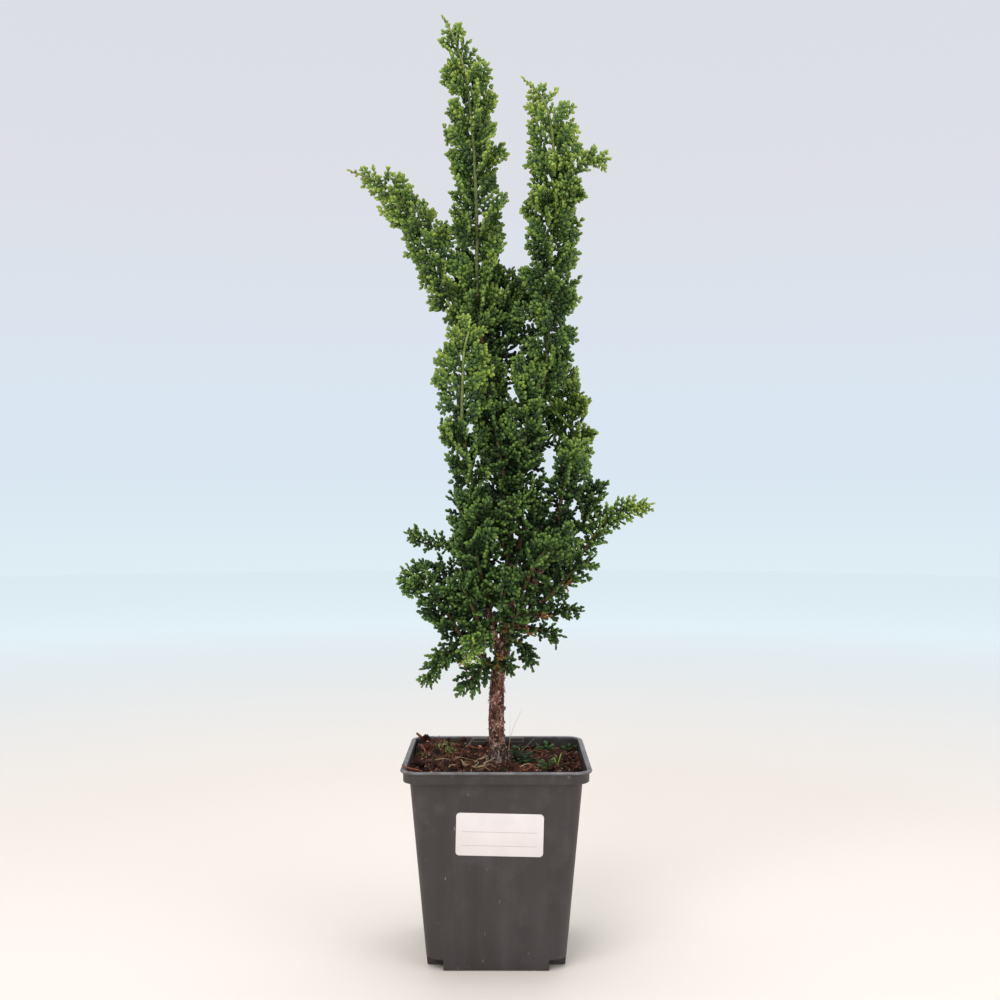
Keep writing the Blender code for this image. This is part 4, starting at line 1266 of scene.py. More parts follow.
@dataclass
class Wood:
    """The trunk, its limbs, the twigs that carry the branches, and flakes of loose bark."""

    soil_top: float = 109 * MM
    flare: float = 1.9 * MM
    flare_reach: float = 7 * MM
    relief: float = 0.85 * MM
    twig_radius: float = 0.9 * MM
    twig_step: float = 2.5 * MM
    trunk_sides: int = 28
    limb_sides: int = 12
    twig_sides: int = 8
    dead_sides: int = 6
    forks_from: float = 157 * MM
    fork_drop: float = 4 * MM
    leafy_from: float = 205 * MM
    flakes: int = 260
    flaky: Pair = (110 * MM, 186 * MM)
    seed: int = 77

    def trunk_radius(self, z: float) -> float:
        """Work out the trunk's radius, with its flare at the soil.

        Args:
            z: a height.

        Returns:
            The radius there.
        """
        top = TRUNK.route[-1][2] * MM
        share = min(max((z - self.soil_top) / (top - self.soil_top), 0.0), 1.0)
        swell = self.flare * math.exp(-((max(z - self.soil_top, 0.0) / self.flare_reach) ** 2))
        return (TRUNK.start + (TRUNK.end - TRUNK.start) * share) * MM + swell

    def add_trunk(self, bm: BMesh) -> None:
        """Add the trunk with its ridged, crusted surface.

        Args:
            bm: an empty bmesh that takes the trunk.
        """
        route = smooth_route(to_metres(TRUNK.route), 1.3 * MM)
        sweep(bm, route, [self.trunk_radius(point.z) for point in route], self.trunk_sides)
        for vert in bm.verts:
            middle = min(route, key=lambda point: abs(point.z - vert.co.z))
            away = vert.co - middle
            stretched = Vector((vert.co.x, vert.co.y, vert.co.z * 0.35))
            ridge = (noise.noise(stretched / (2.2 * MM)) * 0.6
                     + noise.noise(vert.co / (1.3 * MM)) * 0.4)
            slim = min(away.length / (4.0 * MM), 1.0)
            vert.co += away.normalized() * self.relief * ridge * slim

    def nearest_on(self, point: Vector) -> Vector:
        """Return where a twig leaves the wood: near its end point, and a little lower down."""
        lines = [smooth_route(to_metres(limb.route), 4 * MM) for limb in (TRUNK, *LIMBS)]
        spots = [spot for line in lines for spot in line if spot.z > self.forks_from]
        return min(spots, key=lambda spot: (spot - point + UP * self.fork_drop).length)

    def twig(self, end: Vector, arch: float) -> Route:
        """Return a twig's route from the wood to its end, with its middle raised."""
        root = self.nearest_on(end)
        return smooth_route([root, (root + end) / 2 + UP * arch, end], self.twig_step)

    def twig_routes(self) -> dict[str, Route]:
        """Return the route of each branch's twig, from the wood to where its leaves start."""
        return {branch.name: self.twig(Vector(branch.route[0]) * MM, 0.6 * MM)
                for branch in BRANCHES if not branch.within}

    def leafy_wood(self) -> list[Route]:
        """Return the lengths of trunk and limb inside the tree that carry short sprays."""
        routes = [smooth_route(to_metres(limb.route), 0.8 * MM) for limb in (TRUNK, *LIMBS[:3])]
        return [[point for point in route if point.z > self.leafy_from] for route in routes]

    def dead_twigs(self) -> list[Route]:
        """Return the routes of the thin dead twigs, from the wood outwards."""
        return [self.twig(end, 1.0 * MM) for end in to_metres(DEAD_SPRIGS)]

    def build(self) -> list[Piece]:
        """Build the wood and its loose flakes.

        Returns:
            The two finished pieces.
        """
        finish = BarkFinish().build()
        bm = bmesh.new()
        self.add_trunk(bm)
        for limb in LIMBS:
            route = smooth_route(to_metres(limb.route), 3 * MM)
            last = len(route) - 1
            radii = [(limb.start + (limb.end - limb.start) * i / last) * MM
                     for i in range(last + 1)]
            sweep(bm, route, radii, self.limb_sides)
        for route in self.twig_routes().values():
            sweep(bm, route, [self.twig_radius * 1.25] * len(route), self.twig_sides)
        for route in self.dead_twigs():
            sweep(bm, route, [self.twig_radius * 0.6] * len(route), self.dead_sides)
        wood = as_piece("trunk_and_limbs", mesh_of("bark_wood", bm), finish)
        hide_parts("trunk")
        return [wood, self.build_flakes(finish)]

    def make_flake(self) -> Shape:
        """Return a curled flake of bark that lies along +Y and narrows towards its end."""
        bm = bmesh.new()
        bmesh.ops.create_grid(bm, x_segments=2, y_segments=2, size=0.5)
        bmesh.ops.translate(bm, verts=bm.verts, vec=(0, 0.5, 0))
        for vert in bm.verts:
            vert.co.x *= 1.0 - 0.55 * vert.co.y
            vert.co.z = 0.35 * vert.co.y ** 2 - 0.5 * vert.co.x ** 2
        bmesh.ops.solidify(bm, geom=bm.faces[:], thickness=0.12)
        return Shape.from_bmesh("bark_flake", bm)

    def build_flakes(self, finish: Material) -> Piece:
        """Build the loose flakes of bark that stand off the trunk.

        Args:
            finish: the bark's material.

        Returns:
            The finished piece.
        """
        rng = Random(self.seed)
        flake = self.make_flake()
        loose = Gathering()
        route = smooth_route(to_metres(TRUNK.route), 1.0 * MM)
        spots = [point for point in route if self.flaky[0] < point.z < self.flaky[1]]
        for _ in range(self.flakes):
            middle = rng.choice(spots)
            turn = rng.uniform(0, math.tau)
            outward = Vector((math.cos(turn), math.sin(turn), 0))
            root = middle + outward * (self.trunk_radius(middle.z) - 0.25 * MM)
            way = (UP * rng.choice((-1, -1, 1)) + outward * rng.uniform(0.1, 0.45)
                   + outward.cross(UP) * rng.uniform(-0.7, 0.7)).normalized()
            size = rng.uniform(1.2, 3.0) * MM
            loose.add(flake, pose(root, way, outward, Vector((size * 0.8, size, size * 0.7))),
                      (rng.uniform(0.0, 0.5), rng.uniform(0.4, 1.0)))
        return loose.finish("bark_flakes", finish, "bark")


# Pot, label and soil


@dataclass(frozen=True)
class Level:
    """One level of a rounded square: its height, half its width and its corner radius."""

    z: float
    half: float
    corner: float

    def outline(self, bm: BMesh) -> BMFace:
        """Return this outline as the only face of a bmesh that was empty, at height 0."""
        made = bmesh.ops.create_grid(bm, x_segments=1, y_segments=1, size=self.half)
        bmesh.ops.bevel(bm, geom=made["verts"], affect="VERTICES", segments=CORNER_STEPS,
                        offset=self.corner, profile=0.5, material=-1)
        return bm.faces[:][0]

    def carry(self, verts: list[BMVert] | set[BMVert], new: "Level") -> None:
        """Carry an outline's vertices from this level to another.

        Args:
            verts: the vertices.
            new: the other level.
        """
        straight, wanted = self.half - self.corner, new.half - new.corner
        for vert in verts:
            for axis in (0, 1):
                value = vert.co[axis]
                if abs(value) <= straight:
                    vert.co[axis] = value * wanted / straight
                else:
                    past = value - math.copysign(straight, value)
                    vert.co[axis] = math.copysign(wanted, value) + past * new.corner / self.corner
            vert.co.z = new.z


def raised(levels: list[Level]) -> BMesh:
    """Raise a rounded square through levels by extruding it, and close it.

    Args:
        levels: the levels, the first of them at height 0.

    Returns:
        The closed shape.
    """
    bm = bmesh.new()
    face = levels[0].outline(bm)
    for old, new in zip(levels, levels[1:]):
        face = bmesh.ops.extrude_discrete_faces(bm, faces=[face])["faces"][0]
        old.carry(face.verts[:], new)
    bmesh.ops.contextual_create(bm, geom=[edge for edge in bm.edges if edge.is_boundary])
    bmesh.ops.recalc_face_normals(bm, faces=bm.faces)
    return bm


class Cut(Enum):
    """How one solid changes another, with Blender's name for it."""

    AWAY = "DIFFERENCE"
    JOINED = "UNION"
    WITHIN = "INTERSECT"

    def apply(self, item: Piece, tools: list[Piece],
              keep: bool = False) -> None:
        """Change an object with others, one after the other.

        Args:
            item: the object that is changed.
            tools: the objects that it is joined with or cut by.
            keep: whether they are still needed.
        """
        for tool in tools:
            modifier = item.modifiers.new("cut", "BOOLEAN")
            modifier.operation = self.value
            modifier.solver = "EXACT"
            modifier.object = tool
            graph = bpy.context.evaluated_depsgraph_get()
            mesh = bpy.data.meshes.new_from_object(item.evaluated_get(graph))
            item.modifiers.clear()
            item.data = mesh
            if not keep:
                bpy.data.objects.remove(tool)


def solid(bm: BMesh, name: str = "cutter") -> Piece:
    """Return a bmesh as an object that a Boolean can use, and free it."""
    mesh = bpy.data.meshes.new(name)
    bm.to_mesh(mesh)
    bm.free()
    return placed(name, mesh)


def block(size: Point, middle: Point) -> Piece:
    """Return a block of a size about a middle point, for a Boolean."""
    bm = bmesh.new()
    bmesh.ops.create_cube(bm, size=1.0)
    bmesh.ops.scale(bm, verts=bm.verts, vec=size)
    bmesh.ops.translate(bm, verts=bm.verts, vec=middle)
    return solid(bm)


@dataclass
class Pot:
    """The square tapered pot, with a banded rim, a lip and raised corners with drain holes."""

    height: float = 117 * MM
    wall: float = 1.2 * MM
    half_bottom: float = 40.3 * MM
    half_under_band: float = 49.8 * MM
    half_band: float = 53.3 * MM
    half_lip: float = 55.0 * MM
    band_height: float = 7.2 * MM
    lip_thickness: float = 1.6 * MM
    corner: float = 9.0 * MM
    notch_reach: float = 30.5 * MM
    notch_height: float = 6.3 * MM
    drain_radius: float = 3.4 * MM
    drain_place: float = 34.6 * MM
    soft_edge: float = 0.5 * MM
    foot_height: float = 20 * MM
    plates: tuple[Plate, ...] = (
        Plate(-11.0 * MM, 8.8 * MM, 2.3 * MM), Plate(12.8 * MM, 8.5 * MM, 2.6 * MM))
    plate_middle: float = 115.0 * MM
    plate_relief: float = 0.8 * MM
    sharp_from: float = 38.0

    @property
    def band_foot(self) -> float:
        """The height of the foot of the band under the lip."""
        return self.height - self.band_height

    def wall_half(self, z: float) -> float:
        """Return half the outside width of the leaning wall at a height."""
        return self.half_bottom + (self.half_under_band - self.half_bottom) * z / self.band_foot

    def outside(self) -> list[Level]:
        """List the outside.

        Returns:
            Its levels, from the underside up to the top of the lip.
        """
        e = self.soft_edge
        under, lip, top = self.band_foot, self.height - self.lip_thickness, self.height
        levels = [Level(0.0, self.half_bottom - e, self.corner - e),
                  Level(e * 0.3, self.half_bottom - e * 0.3, self.corner - e * 0.3),
                  Level(e, self.half_bottom, self.corner)]
        for i in range(1, 6):
            z = e + (under - 1.2 * MM - e) * i / 5
            levels.append(Level(z, self.wall_half(z), self.corner))
        rim = ((under, -0.5, self.wall_half(under), 0.1, 0.0), (under, -0.1, self.half_band, -1.4, 0.0),
               (under, 0.1, self.half_band, -0.4, 0.0), (under, 0.6, self.half_band, 0.0, 0.0),
               (lip, -0.5, self.half_band, 0.1, 0.0), (lip, -0.1, self.half_band, 0.3, 0.0),
               (lip, 0.1, self.half_lip, -0.5, 1.2), (lip, 0.5, self.half_lip, -0.1, 1.6),
               (lip, 0.9, self.half_lip, 0.0, 1.7), (top, -0.3, self.half_lip, -0.3, 1.4),
               (top, 0.0, self.half_lip, -1.0, 0.8))
        return levels + [Level(z + up * MM, half + out * MM, self.corner + rounder * MM)
                         for z, up, half, out, rounder in rim]

    def inside(self) -> list[Level]:
        """List the inside.

        Returns:
            Its levels, from just inside the top of the lip down to the floor.
        """
        inner, under = self.half_band - self.wall, self.band_foot
        corner = self.corner - self.wall
        levels = [Level(self.height, inner + 0.5 * MM, self.corner - 0.4 * MM),
                  Level(self.height - 0.3 * MM, inner, corner),
                  Level(under + 0.8 * MM, inner, corner),
                  Level(under, self.wall_half(under) - self.wall, corner)]
        for i in range(1, 5):
            z = under + (self.wall - under) * i / 4
            levels.append(Level(z, self.wall_half(z) - self.wall, corner))
        return levels

    def build(self) -> Piece:
        """Build the pot.

        Returns:
            The finished piece.
        """
        pot = solid(raised(self.outside() + self.inside()), "square_pot")
        Cut.AWAY.apply(pot, self.corner_notches())
        Cut.JOINED.apply(pot, self.corner_feet())
        Cut.AWAY.apply(pot, self.drain_cutters())
        Cut.JOINED.apply(pot, [
            block((plate.width, self.plate_relief * 2, plate.height),
                  (plate.x, self.half_band - self.wall, self.plate_middle))
            for plate in self.plates])
        mesh = pot.data
        for polygon in mesh.polygons:
            polygon.use_smooth = True
        mesh.set_sharp_from_angle(angle=math.radians(self.sharp_from))
        bpy.data.objects.remove(pot)
        back = (self.half_band - 2.5 * self.wall, self.half_band - 0.5 * self.wall)
        finish = PotFinish(self.plates, self.plate_middle, back).build()
        piece = as_piece("square_plastic_pot", mesh, finish)
        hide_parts("pot")
        return piece

    def corner_blocks(self, start: float, low: float, high: float) -> list[Piece]:
        """Return four blocks over the corners, from start outwards and from low to high."""
        size = 30 * MM
        out = start + size / 2
        return [block((size, size, high - low), (x * out, y * out, (low + high) / 2))
                for x, y in QUARTERS]

    def corner_notches(self) -> list[Piece]:
        """Return the blocks that cut the raised corners free."""
        return self.corner_blocks(self.notch_reach, -5 * MM, self.notch_height)

    def corner_feet(self) -> list[Piece]:
        """Make the raised corners' own floors and inner walls, cut to the pot's outside.

        Returns:
            One solid for each corner.
        """
        half_wall = self.wall * 0.5
        feet = self.corner_blocks(self.notch_reach - self.wall, half_wall,
                                  self.notch_height + self.wall)
        limit = solid(raised([Level(z, self.wall_half(z) - half_wall, self.corner - half_wall)
                              for z in (0.0, self.foot_height)]))
        for foot in feet:
            Cut.WITHIN.apply(foot, [limit], keep=True)
            Cut.AWAY.apply(foot, self.corner_notches())
        bpy.data.objects.remove(limit)
        return feet

    def drain_cutters(self) -> list[Piece]:
        """Make the cutters of the drain holes.

        Returns:
            One round cutter for each corner.
        """
        holes = []
        for x, y in QUARTERS:
            bm = bmesh.new()
            bmesh.ops.create_cone(bm, cap_ends=True, segments=28, radius1=self.drain_radius,
                                  radius2=self.drain_radius, depth=8 * MM)
            bmesh.ops.translate(bm, verts=bm.verts, vec=(
                x * self.drain_place, y * self.drain_place, self.notch_height + self.wall / 2))
            holes.append(solid(bm))
        return holes


@dataclass
class Label:
    """The blank white sticker on the pot's front."""

    pot: Pot
    width: float = 50 * MM
    height: float = 25 * MM
    thickness: float = 0.3 * MM
    corner: float = 2.2 * MM
    middle: Pair = (2.0 * MM, 80.0 * MM)
    turn: float = math.radians(1.3)
    line_heights: Pair = (1.5 * MM, -6.5 * MM)
    line_reach: float = 0.43
    soft_edge: float = 0.08 * MM

    def build(self) -> Piece:
        """Build the sticker, lying against the leaning wall.

        Returns:
            The finished piece.
        """
        bm = bmesh.new()
        bmesh.ops.create_grid(bm, x_segments=1, y_segments=1, size=0.5)
        bmesh.ops.scale(bm, verts=bm.verts, vec=(self.width, self.height, 1))
        bmesh.ops.bevel(bm, geom=bm.verts[:], affect="VERTICES", segments=8, offset=self.corner,
                        profile=0.5, material=-1)
        bmesh.ops.solidify(bm, geom=bm.faces[:], thickness=self.thickness)
        bmesh.ops.recalc_face_normals(bm, faces=bm.faces)
        rim = [edge for edge in bm.edges if edge.calc_face_angle(0) > 0.8]
        bmesh.ops.bevel(bm, geom=rim, affect="EDGES", segments=2, offset=self.soft_edge,
                        profile=0.5, material=-1)
        lean = math.atan2(self.pot.half_under_band - self.pot.half_bottom, self.pot.band_foot)
        x, z = self.middle
        place = (Matrix.Translation((x, -self.pot.wall_half(z) - 0.25 * MM, z))
                 @ Matrix.Rotation(math.pi / 2 + lean, 4, "X")
                 @ Matrix.Rotation(-self.turn, 4, "Z"))
        bmesh.ops.transform(bm, matrix=place, verts=bm.verts)
        finish = LabelFinish(self.middle, self.width * self.line_reach, self.turn,
                             self.line_heights).build()
        piece = as_piece("blank_label", mesh_of("blank_label", bm, 30.0), finish)
        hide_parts("label")
        return piece


@dataclass(frozen=True)
class Scatter:
    """One kind of litter: how many pieces there are, and the ranges they are drawn from.

    Attributes:
        count: how many there are.
        length: their length, in millimetres.
        slim: their width against their length.
        lightest: the tone of the lightest.
        dry: how dry the driest are.
        rough: how rough their shape is.
        flat: their thickness against their width.
        shift: where in the noise their shape is read.
        finish: what they are made of.
        rings: how many rings their mesh has, or 0 for the plainest mesh.
    """

    count: int
    length: Pair
    slim: Pair
    lightest: float
    dry: float
    rough: float
    flat: float
    shift: int
    finish: PeatFinish | PlainFinish
    rings: int = 0

    def shape(self) -> Shape:
        """Return the rough little lump along +Y that all of them copy."""
        bm = bmesh.new()
        if self.rings:
            bmesh.ops.create_uvsphere(bm, u_segments=self.rings + 3, v_segments=self.rings,
                                      radius=0.5)
        else:
            bmesh.ops.create_icosphere(bm, subdivisions=1, radius=0.5)
        for vert in bm.verts:
            vert.co *= 1 + self.rough * noise.noise(vert.co * 3.1 + Vector((self.shift, 0, 0)))
            vert.co.z *= self.flat
        bmesh.ops.translate(bm, verts=bm.verts, vec=(0, 0.5, 0))
        return Shape.from_bmesh("litter", bm)


class Litter(Enum):
    """The kinds of litter on the soil."""

    CLOD = Scatter(260, (2.6, 7.0), (0.5, 0.95), 0.35, 0.0, 1.3, 0.7, 4, PeatFinish(0.55), 5)
    CRUMB = Scatter(1500, (0.6, 2.2), (0.35, 0.9), 0.8, 0.0, 0.9, 0.8, 5, PeatFinish(1.05))
    CHIP = Scatter(300, (1.6, 4.4), (0.35, 0.9), 0.6, 0.12, 0.8, 0.3, 4, PeatFinish(1.5))
    FIBRE = Scatter(420, (2.6, 7.0), (0.045, 0.085), 0.7, 0.35, 0.3, 1.0, 5, PeatFinish(1.2))
    GRIT = Scatter(90, (0.5, 1.1), (0.6, 0.9), 0.8, 1.0, 0.5, 0.9, 4,
                   PlainFinish("white_grit", (0.50, 0.47, 0.42), (0.82, 0.80, 0.76)))


@dataclass(frozen=True)
class Thread:
    """A thin root, stalk or strip of bark, in millimetres.

    Attributes:
        radius: its radius at its first point.
        points: its points, each as X, Y and its height over the soil.
        free: whether the heights are over the pot's foot instead.
    """

    radius: float
    points: tuple[Point, ...]
    free: bool = False


ROOTS = (
    Thread(0.27, ((-28.4, -13.2, 0.4), (-26.9, -6.3, 0.9), (-20.8, -7.7, 0.6), (-15.9, -10.4, 1.2),
                  (-12.3, -10.4, 0.8), (-8.1, -7.7, 1.1), (-6.1, 2.2, 0.8), (-6.9, 12.3, 0.6))),
    Thread(0.27, ((-21.9, 9.4, 0.5), (-19.7, -4.9, 1.3), (-17.1, -11.8, 0.8))),
    Thread(0.27, ((-24.5, -3.0, 0.7), (-22.0, -9.0, 1.4), (-18.5, -14.0, 0.7))),
    Thread(0.27, ((-14.0, -12.0, 0.7), (-11.0, -3.0, 1.5), (-13.0, 4.0, 0.6))),
    Thread(0.27, ((-38, 6, 0.5), (-33, 2, 1.1), (-29, 5, 0.5))),
    Thread(0.27, ((14, -12, 0.4), (19, -9, 1.0), (25, -11, 0.5))),
)
STALKS = (
    Thread(0.17, ((7.0, 2, 108), (7.6, 1, 122), (10.5, 0, 133), (15.5, -1, 144)), True),
    Thread(0.11, ((7.4, 1, 108), (7.8, 0.5, 126), (8.6, 0, 142)), True),
    Thread(0.26, ((12, 33, 0.2), (16, 30, 3.8), (23.6, 29, 10.0))),
    Thread(0.20, ((-20, 36, 0.3), (-17, 37, 3.5), (-15, 38, 7.5))),
)
STRIPS = (
    Thread(0.7, ((-54, -38, 117.9), (-52, -45, 118.1), (-47.9, -49, 118.1), (-42, -53.6, 117.9)),
           True),
    Thread(0.7, ((18.1, -18.6, 0.5), (21.3, -10.4, 1.8), (25, -7.7, 2.2), (29, -13.2, 1.2),
                 (31, -19, 0.6))),
    Thread(0.6, ((16, -19, 0.6), (21, -15, 1.4), (27, -17, 1.4))),
    Thread(0.5, ((12, 22, 0.8), (22, 25, 1.6), (34, 24, 0.9))),
    Thread(1.8, ((-43, 43, 112.5), (-45, 44, 114.5), (-48.5, 45, 117.6), (-52, 45.5, 120.6)), True),
    Thread(0.8, ((-48, 30, 0.8), (-45, 22, 2.2), (-47, 12, 0.8))),
    Thread(0.7, ((-18, 33, 0.8), (-14, 30, 2.0), (-8, 32, 0.8))),
)


# Moss cushions: X, Y and reach in millimetres, and how fresh they are
CUSHIONS = (
    (-32, 29, 6.5, 0.85), (-28, 25, 4.0, 0.6), (-47, 18, 3.5, 0.4), (-37, 8, 3.0, 0.3),
    (26, 30, 5.5, 0.4), (38, 12, 4.0, 0.3), (4, -13, 3.5, 0.3), (20, 12, 4.0, 0.25),
    (-12, -4, 3.0, 0.2), (40, -10, 3.5, 0.3))
# Clumps of seedlings: X, Y, reach and height in millimetres, how many, and how fresh they are
CLUMPS = (
    (14.5, 3.0, 5.0, 8.0, 46, 0.30), (31.0, 39.0, 5.5, 3.6, 26, 0.50),
    (47.0, 45.0, 3.0, 3.0, 14, 0.38), (29.5, -17.0, 3.0, 4.0, 16, 0.48),
    (20.0, 8.0, 4.0, 2.5, 16, 0.30))


@dataclass
class Soil:
    """The root ball, and what lies and grows on its uneven, crumbly top."""

    pot: Pot
    foliage: Foliage
    level: float = 108.5 * MM
    bump: float = 1.6 * MM
    mound: float = 5.0 * MM
    mound_place: Pair = (-40 * MM, 36 * MM)
    mound_reach: float = 16 * MM
    lift: float = 1.4 * MM
    rim_height: float = 111.0 * MM
    cells: int = 110
    margin: float = 0.2 * MM
    edge: float = 4 * MM
    depths: tuple[float, ...] = (110.4 * MM, 109.4 * MM, 60 * MM, 8.5 * MM)
    clear_of_trunk: float = 5.5 * MM
    root_lift: float = 0.7
    fine_roots: int = 12
    fine_root_step: float = 3.6
    sprout: Pair = (36 * MM, -13 * MM)
    sprout_leaves: tuple[Pair, ...] = ((0.3, 9.5), (2.4, 6.5), (4.2, 5.0))
    seed: int = 4151

    def top(self, x: float, y: float) -> float:
        """Work out the height of the soil's crumbly top: the CAD node's top, and its crumbs.

        Args:
            x: the place's X.
            y: the place's Y.

        Returns:
            The height there.
        """
        waves = math.sin(x / (7 * MM) + 0.6) * math.cos(y / (9 * MM) - 0.4)
        ripples = math.sin(x / (3.1 * MM) - y / (4.3 * MM)) * 0.5
        away = math.hypot(x - self.mound_place[0], y - self.mound_place[1]) / self.mound_reach
        plain = (self.level + self.bump * (waves + ripples) / 1.5
                 + self.mound * math.exp(-away * away))
        spot = Vector((x, y, 0))
        lumps = noise.noise(spot / (5.0 * MM)) * 1.6 + noise.noise(spot / (2.0 * MM)) * 0.8
        grains = noise.noise(spot / (0.9 * MM)) * 0.35
        heap = 2.2 * math.exp(-(math.hypot(x - 1 * MM, y) / (11 * MM)) ** 2)
        heap += 3.4 * math.exp(-((x + 30 * MM) / (19 * MM)) ** 2 - ((y - 42 * MM) / (17 * MM)) ** 2)
        return plain + self.lift + (lumps + grains + heap) * MM

    def surface(self, x: float, y: float) -> float:
        """Return the height of the soil with its raised edge along the walls."""
        if max(abs(x), abs(y)) > self.inner(self.rim_height).half - self.edge:
            return max(self.top(x, y), self.rim_height - 0.4 * MM)
        return self.top(x, y)

    def inner(self, z: float) -> Level:
        """Return the soil's rounded square at a height, just inside the wall."""
        outer = self.pot.half_band if z > self.pot.band_foot else self.pot.wall_half(z)
        return Level(z, outer - self.pot.wall - self.margin, self.pot.corner - self.pot.wall)

    def build_ground(self) -> Piece:
        """Build the root ball with its uneven top.

        Returns:
            The finished piece.
        """
        bm = bmesh.new()
        rim = self.inner(self.rim_height)
        bmesh.ops.create_grid(bm, x_segments=self.cells, y_segments=self.cells, size=rim.half)
        straight = rim.half - rim.corner
        for vert in bm.verts:
            past_x = max(abs(vert.co.x) - straight, 0.0) / rim.corner
            past_y = max(abs(vert.co.y) - straight, 0.0) / rim.corner
            if past_x and past_y:
                vert.co.x = math.copysign(
                    straight + rim.corner * past_x * math.sqrt(1 - past_y ** 2 / 2), vert.co.x)
                vert.co.y = math.copysign(
                    straight + rim.corner * past_y * math.sqrt(1 - past_x ** 2 / 2), vert.co.y)
        border = [edge for edge in bm.edges if edge.is_boundary]
        ridge = {vert for edge in border for vert in edge.verts}
        for vert in bm.verts:
            vert.co.z = self.top(vert.co.x, vert.co.y)
            if vert in ridge:
                vert.co.z = max(rim.z, vert.co.z - 1.0 * MM)
            elif max(abs(vert.co.x), abs(vert.co.y)) > rim.half - self.edge:
                vert.co.z = max(vert.co.z, rim.z - 0.4 * MM)
        old = rim
        for new in map(self.inner, self.depths):
            border, verts = extruded(bm, border)
            old.carry(verts, new)
            old = new
        bmesh.ops.contextual_create(bm, geom=border)
        ground = as_piece("potting_soil", mesh_of("potting_soil", bm), PeatFinish().build())
        for label in ("fresh", "dry"):
            ground.data.attributes.new(label, "FLOAT", "POINT")
        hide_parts("soil")
        return ground

    def spot(self, rng: Random) -> Vector:
        """Draw a place on the soil's top, clear of the trunk and the pot's rounded corners.

        Args:
            rng: the random numbers it is drawn from.

        Returns:
            The place.
        """
        half = self.inner(self.rim_height).half - 1.0 * MM
        while True:
            x, y = rng.uniform(-half, half), rng.uniform(-half, half)
            past = math.hypot(max(abs(x) - half + 8 * MM, 0), max(abs(y) - half + 8 * MM, 0))
            if past < 8 * MM and math.hypot(x - 1 * MM, y) > self.clear_of_trunk:
                return Vector((x, y, self.surface(x, y)))

    def clear_of_wall(self, place: Vector, way: Vector, size: float,
                      slim: float) -> tuple[Vector, Vector]:
        """Turn a piece inwards, and raise it, where it would pass through the pot's wall.

        Args:
            place: where the piece starts.
            way: the direction it lies in.
            size: its length.
            slim: its width against its length.

        Returns:
            Its place and direction, clear of the wall.
        """
        girth = size * slim * 0.6
        limit = self.inner(self.rim_height).half - girth
        ledge = self.inner(self.level).half - girth
        for axis in (0, 1):
            place[axis] = max(-limit, min(limit, place[axis]))
            if abs(place[axis] + way[axis] * size) > ledge:
                way[axis] = -math.copysign(way[axis], place[axis])
        if max(abs(place.x), abs(place.y)) > ledge:
            place.z = max(place.z, self.pot.band_foot + girth + size * 0.15)
            way.z = abs(way.z)
        return place, way

    def build_litter(self) -> list[Piece]:
        """Build the clods, crumbs, bark chips, fibres and white grit that lie on the soil.

        Returns:
            One finished piece for each kind.
        """
        rng = Random(self.seed)
        pieces = []
        for kind in Litter:
            litter = kind.value
            shape, gathered = litter.shape(), Gathering()
            for _ in range(litter.count):
                place = self.spot(rng)
                size = rng.uniform(*litter.length) * rng.uniform(0.6, 1.0) * MM
                way = Vector((rng.uniform(-1, 1), rng.uniform(-1, 1), rng.uniform(-0.25, 0.6)))
                facing = Vector((rng.uniform(-0.6, 0.6), rng.uniform(-0.6, 0.6), 1))
                slim = rng.uniform(*litter.slim)
                tone = rng.uniform(0.0, litter.lightest)
                place, way = self.clear_of_wall(place, way.normalized(), size, slim)
                dry = litter.dry * rng.uniform(0.3, 1.0) * (rng.random() < 0.5)
                gathered.add(shape, pose(place - UP * size * 0.15, way, facing.normalized(),
                                         Vector((size * slim, size, size * slim))),
                             (tone, tone), dry)
            pieces.append(gathered.finish(f"soil_{kind.name.lower()}s", litter.finish.build(),
                                          "peat"))
        return pieces

    def add_thread(self, bm: BMesh, thread: Thread, lift: float = 0.0) -> None:
        """Add a thin root, stalk or strip, slimmer towards its end.

        Args:
            bm: the bmesh that takes it.
            thread: its points and radius.
            lift: how far it is raised, in millimetres.
        """
        points = tuple((x, y, (z if thread.free else self.top(x * MM, y * MM) / MM + z) + lift)
                       for x, y, z in thread.points)
        route = smooth_route(to_metres(points), 1.2 * MM)
        last = len(route) - 1
        sweep(bm, route, [thread.radius * MM * (1 - 0.6 * i / last) for i in range(last + 1)], 6)

    def draw_fine_root(self, rng: Random) -> Thread:
        """Return a fine root, drawn from random numbers, that wanders left of the trunk."""
        x, y, turn = rng.uniform(-28, -7), rng.uniform(-16, 14), rng.uniform(-0.7, 0.7)
        places = []
        for above in (0.4, rng.uniform(1.2, 2.2), rng.uniform(1.2, 2.0), 0.5):
            places.append((x, y, above + 0.5))
            x, y = (x + self.fine_root_step * math.cos(turn),
                    y + self.fine_root_step * math.sin(turn))
            turn += rng.uniform(-0.8, 0.8)
        return Thread(rng.uniform(0.16, 0.24), tuple(places))

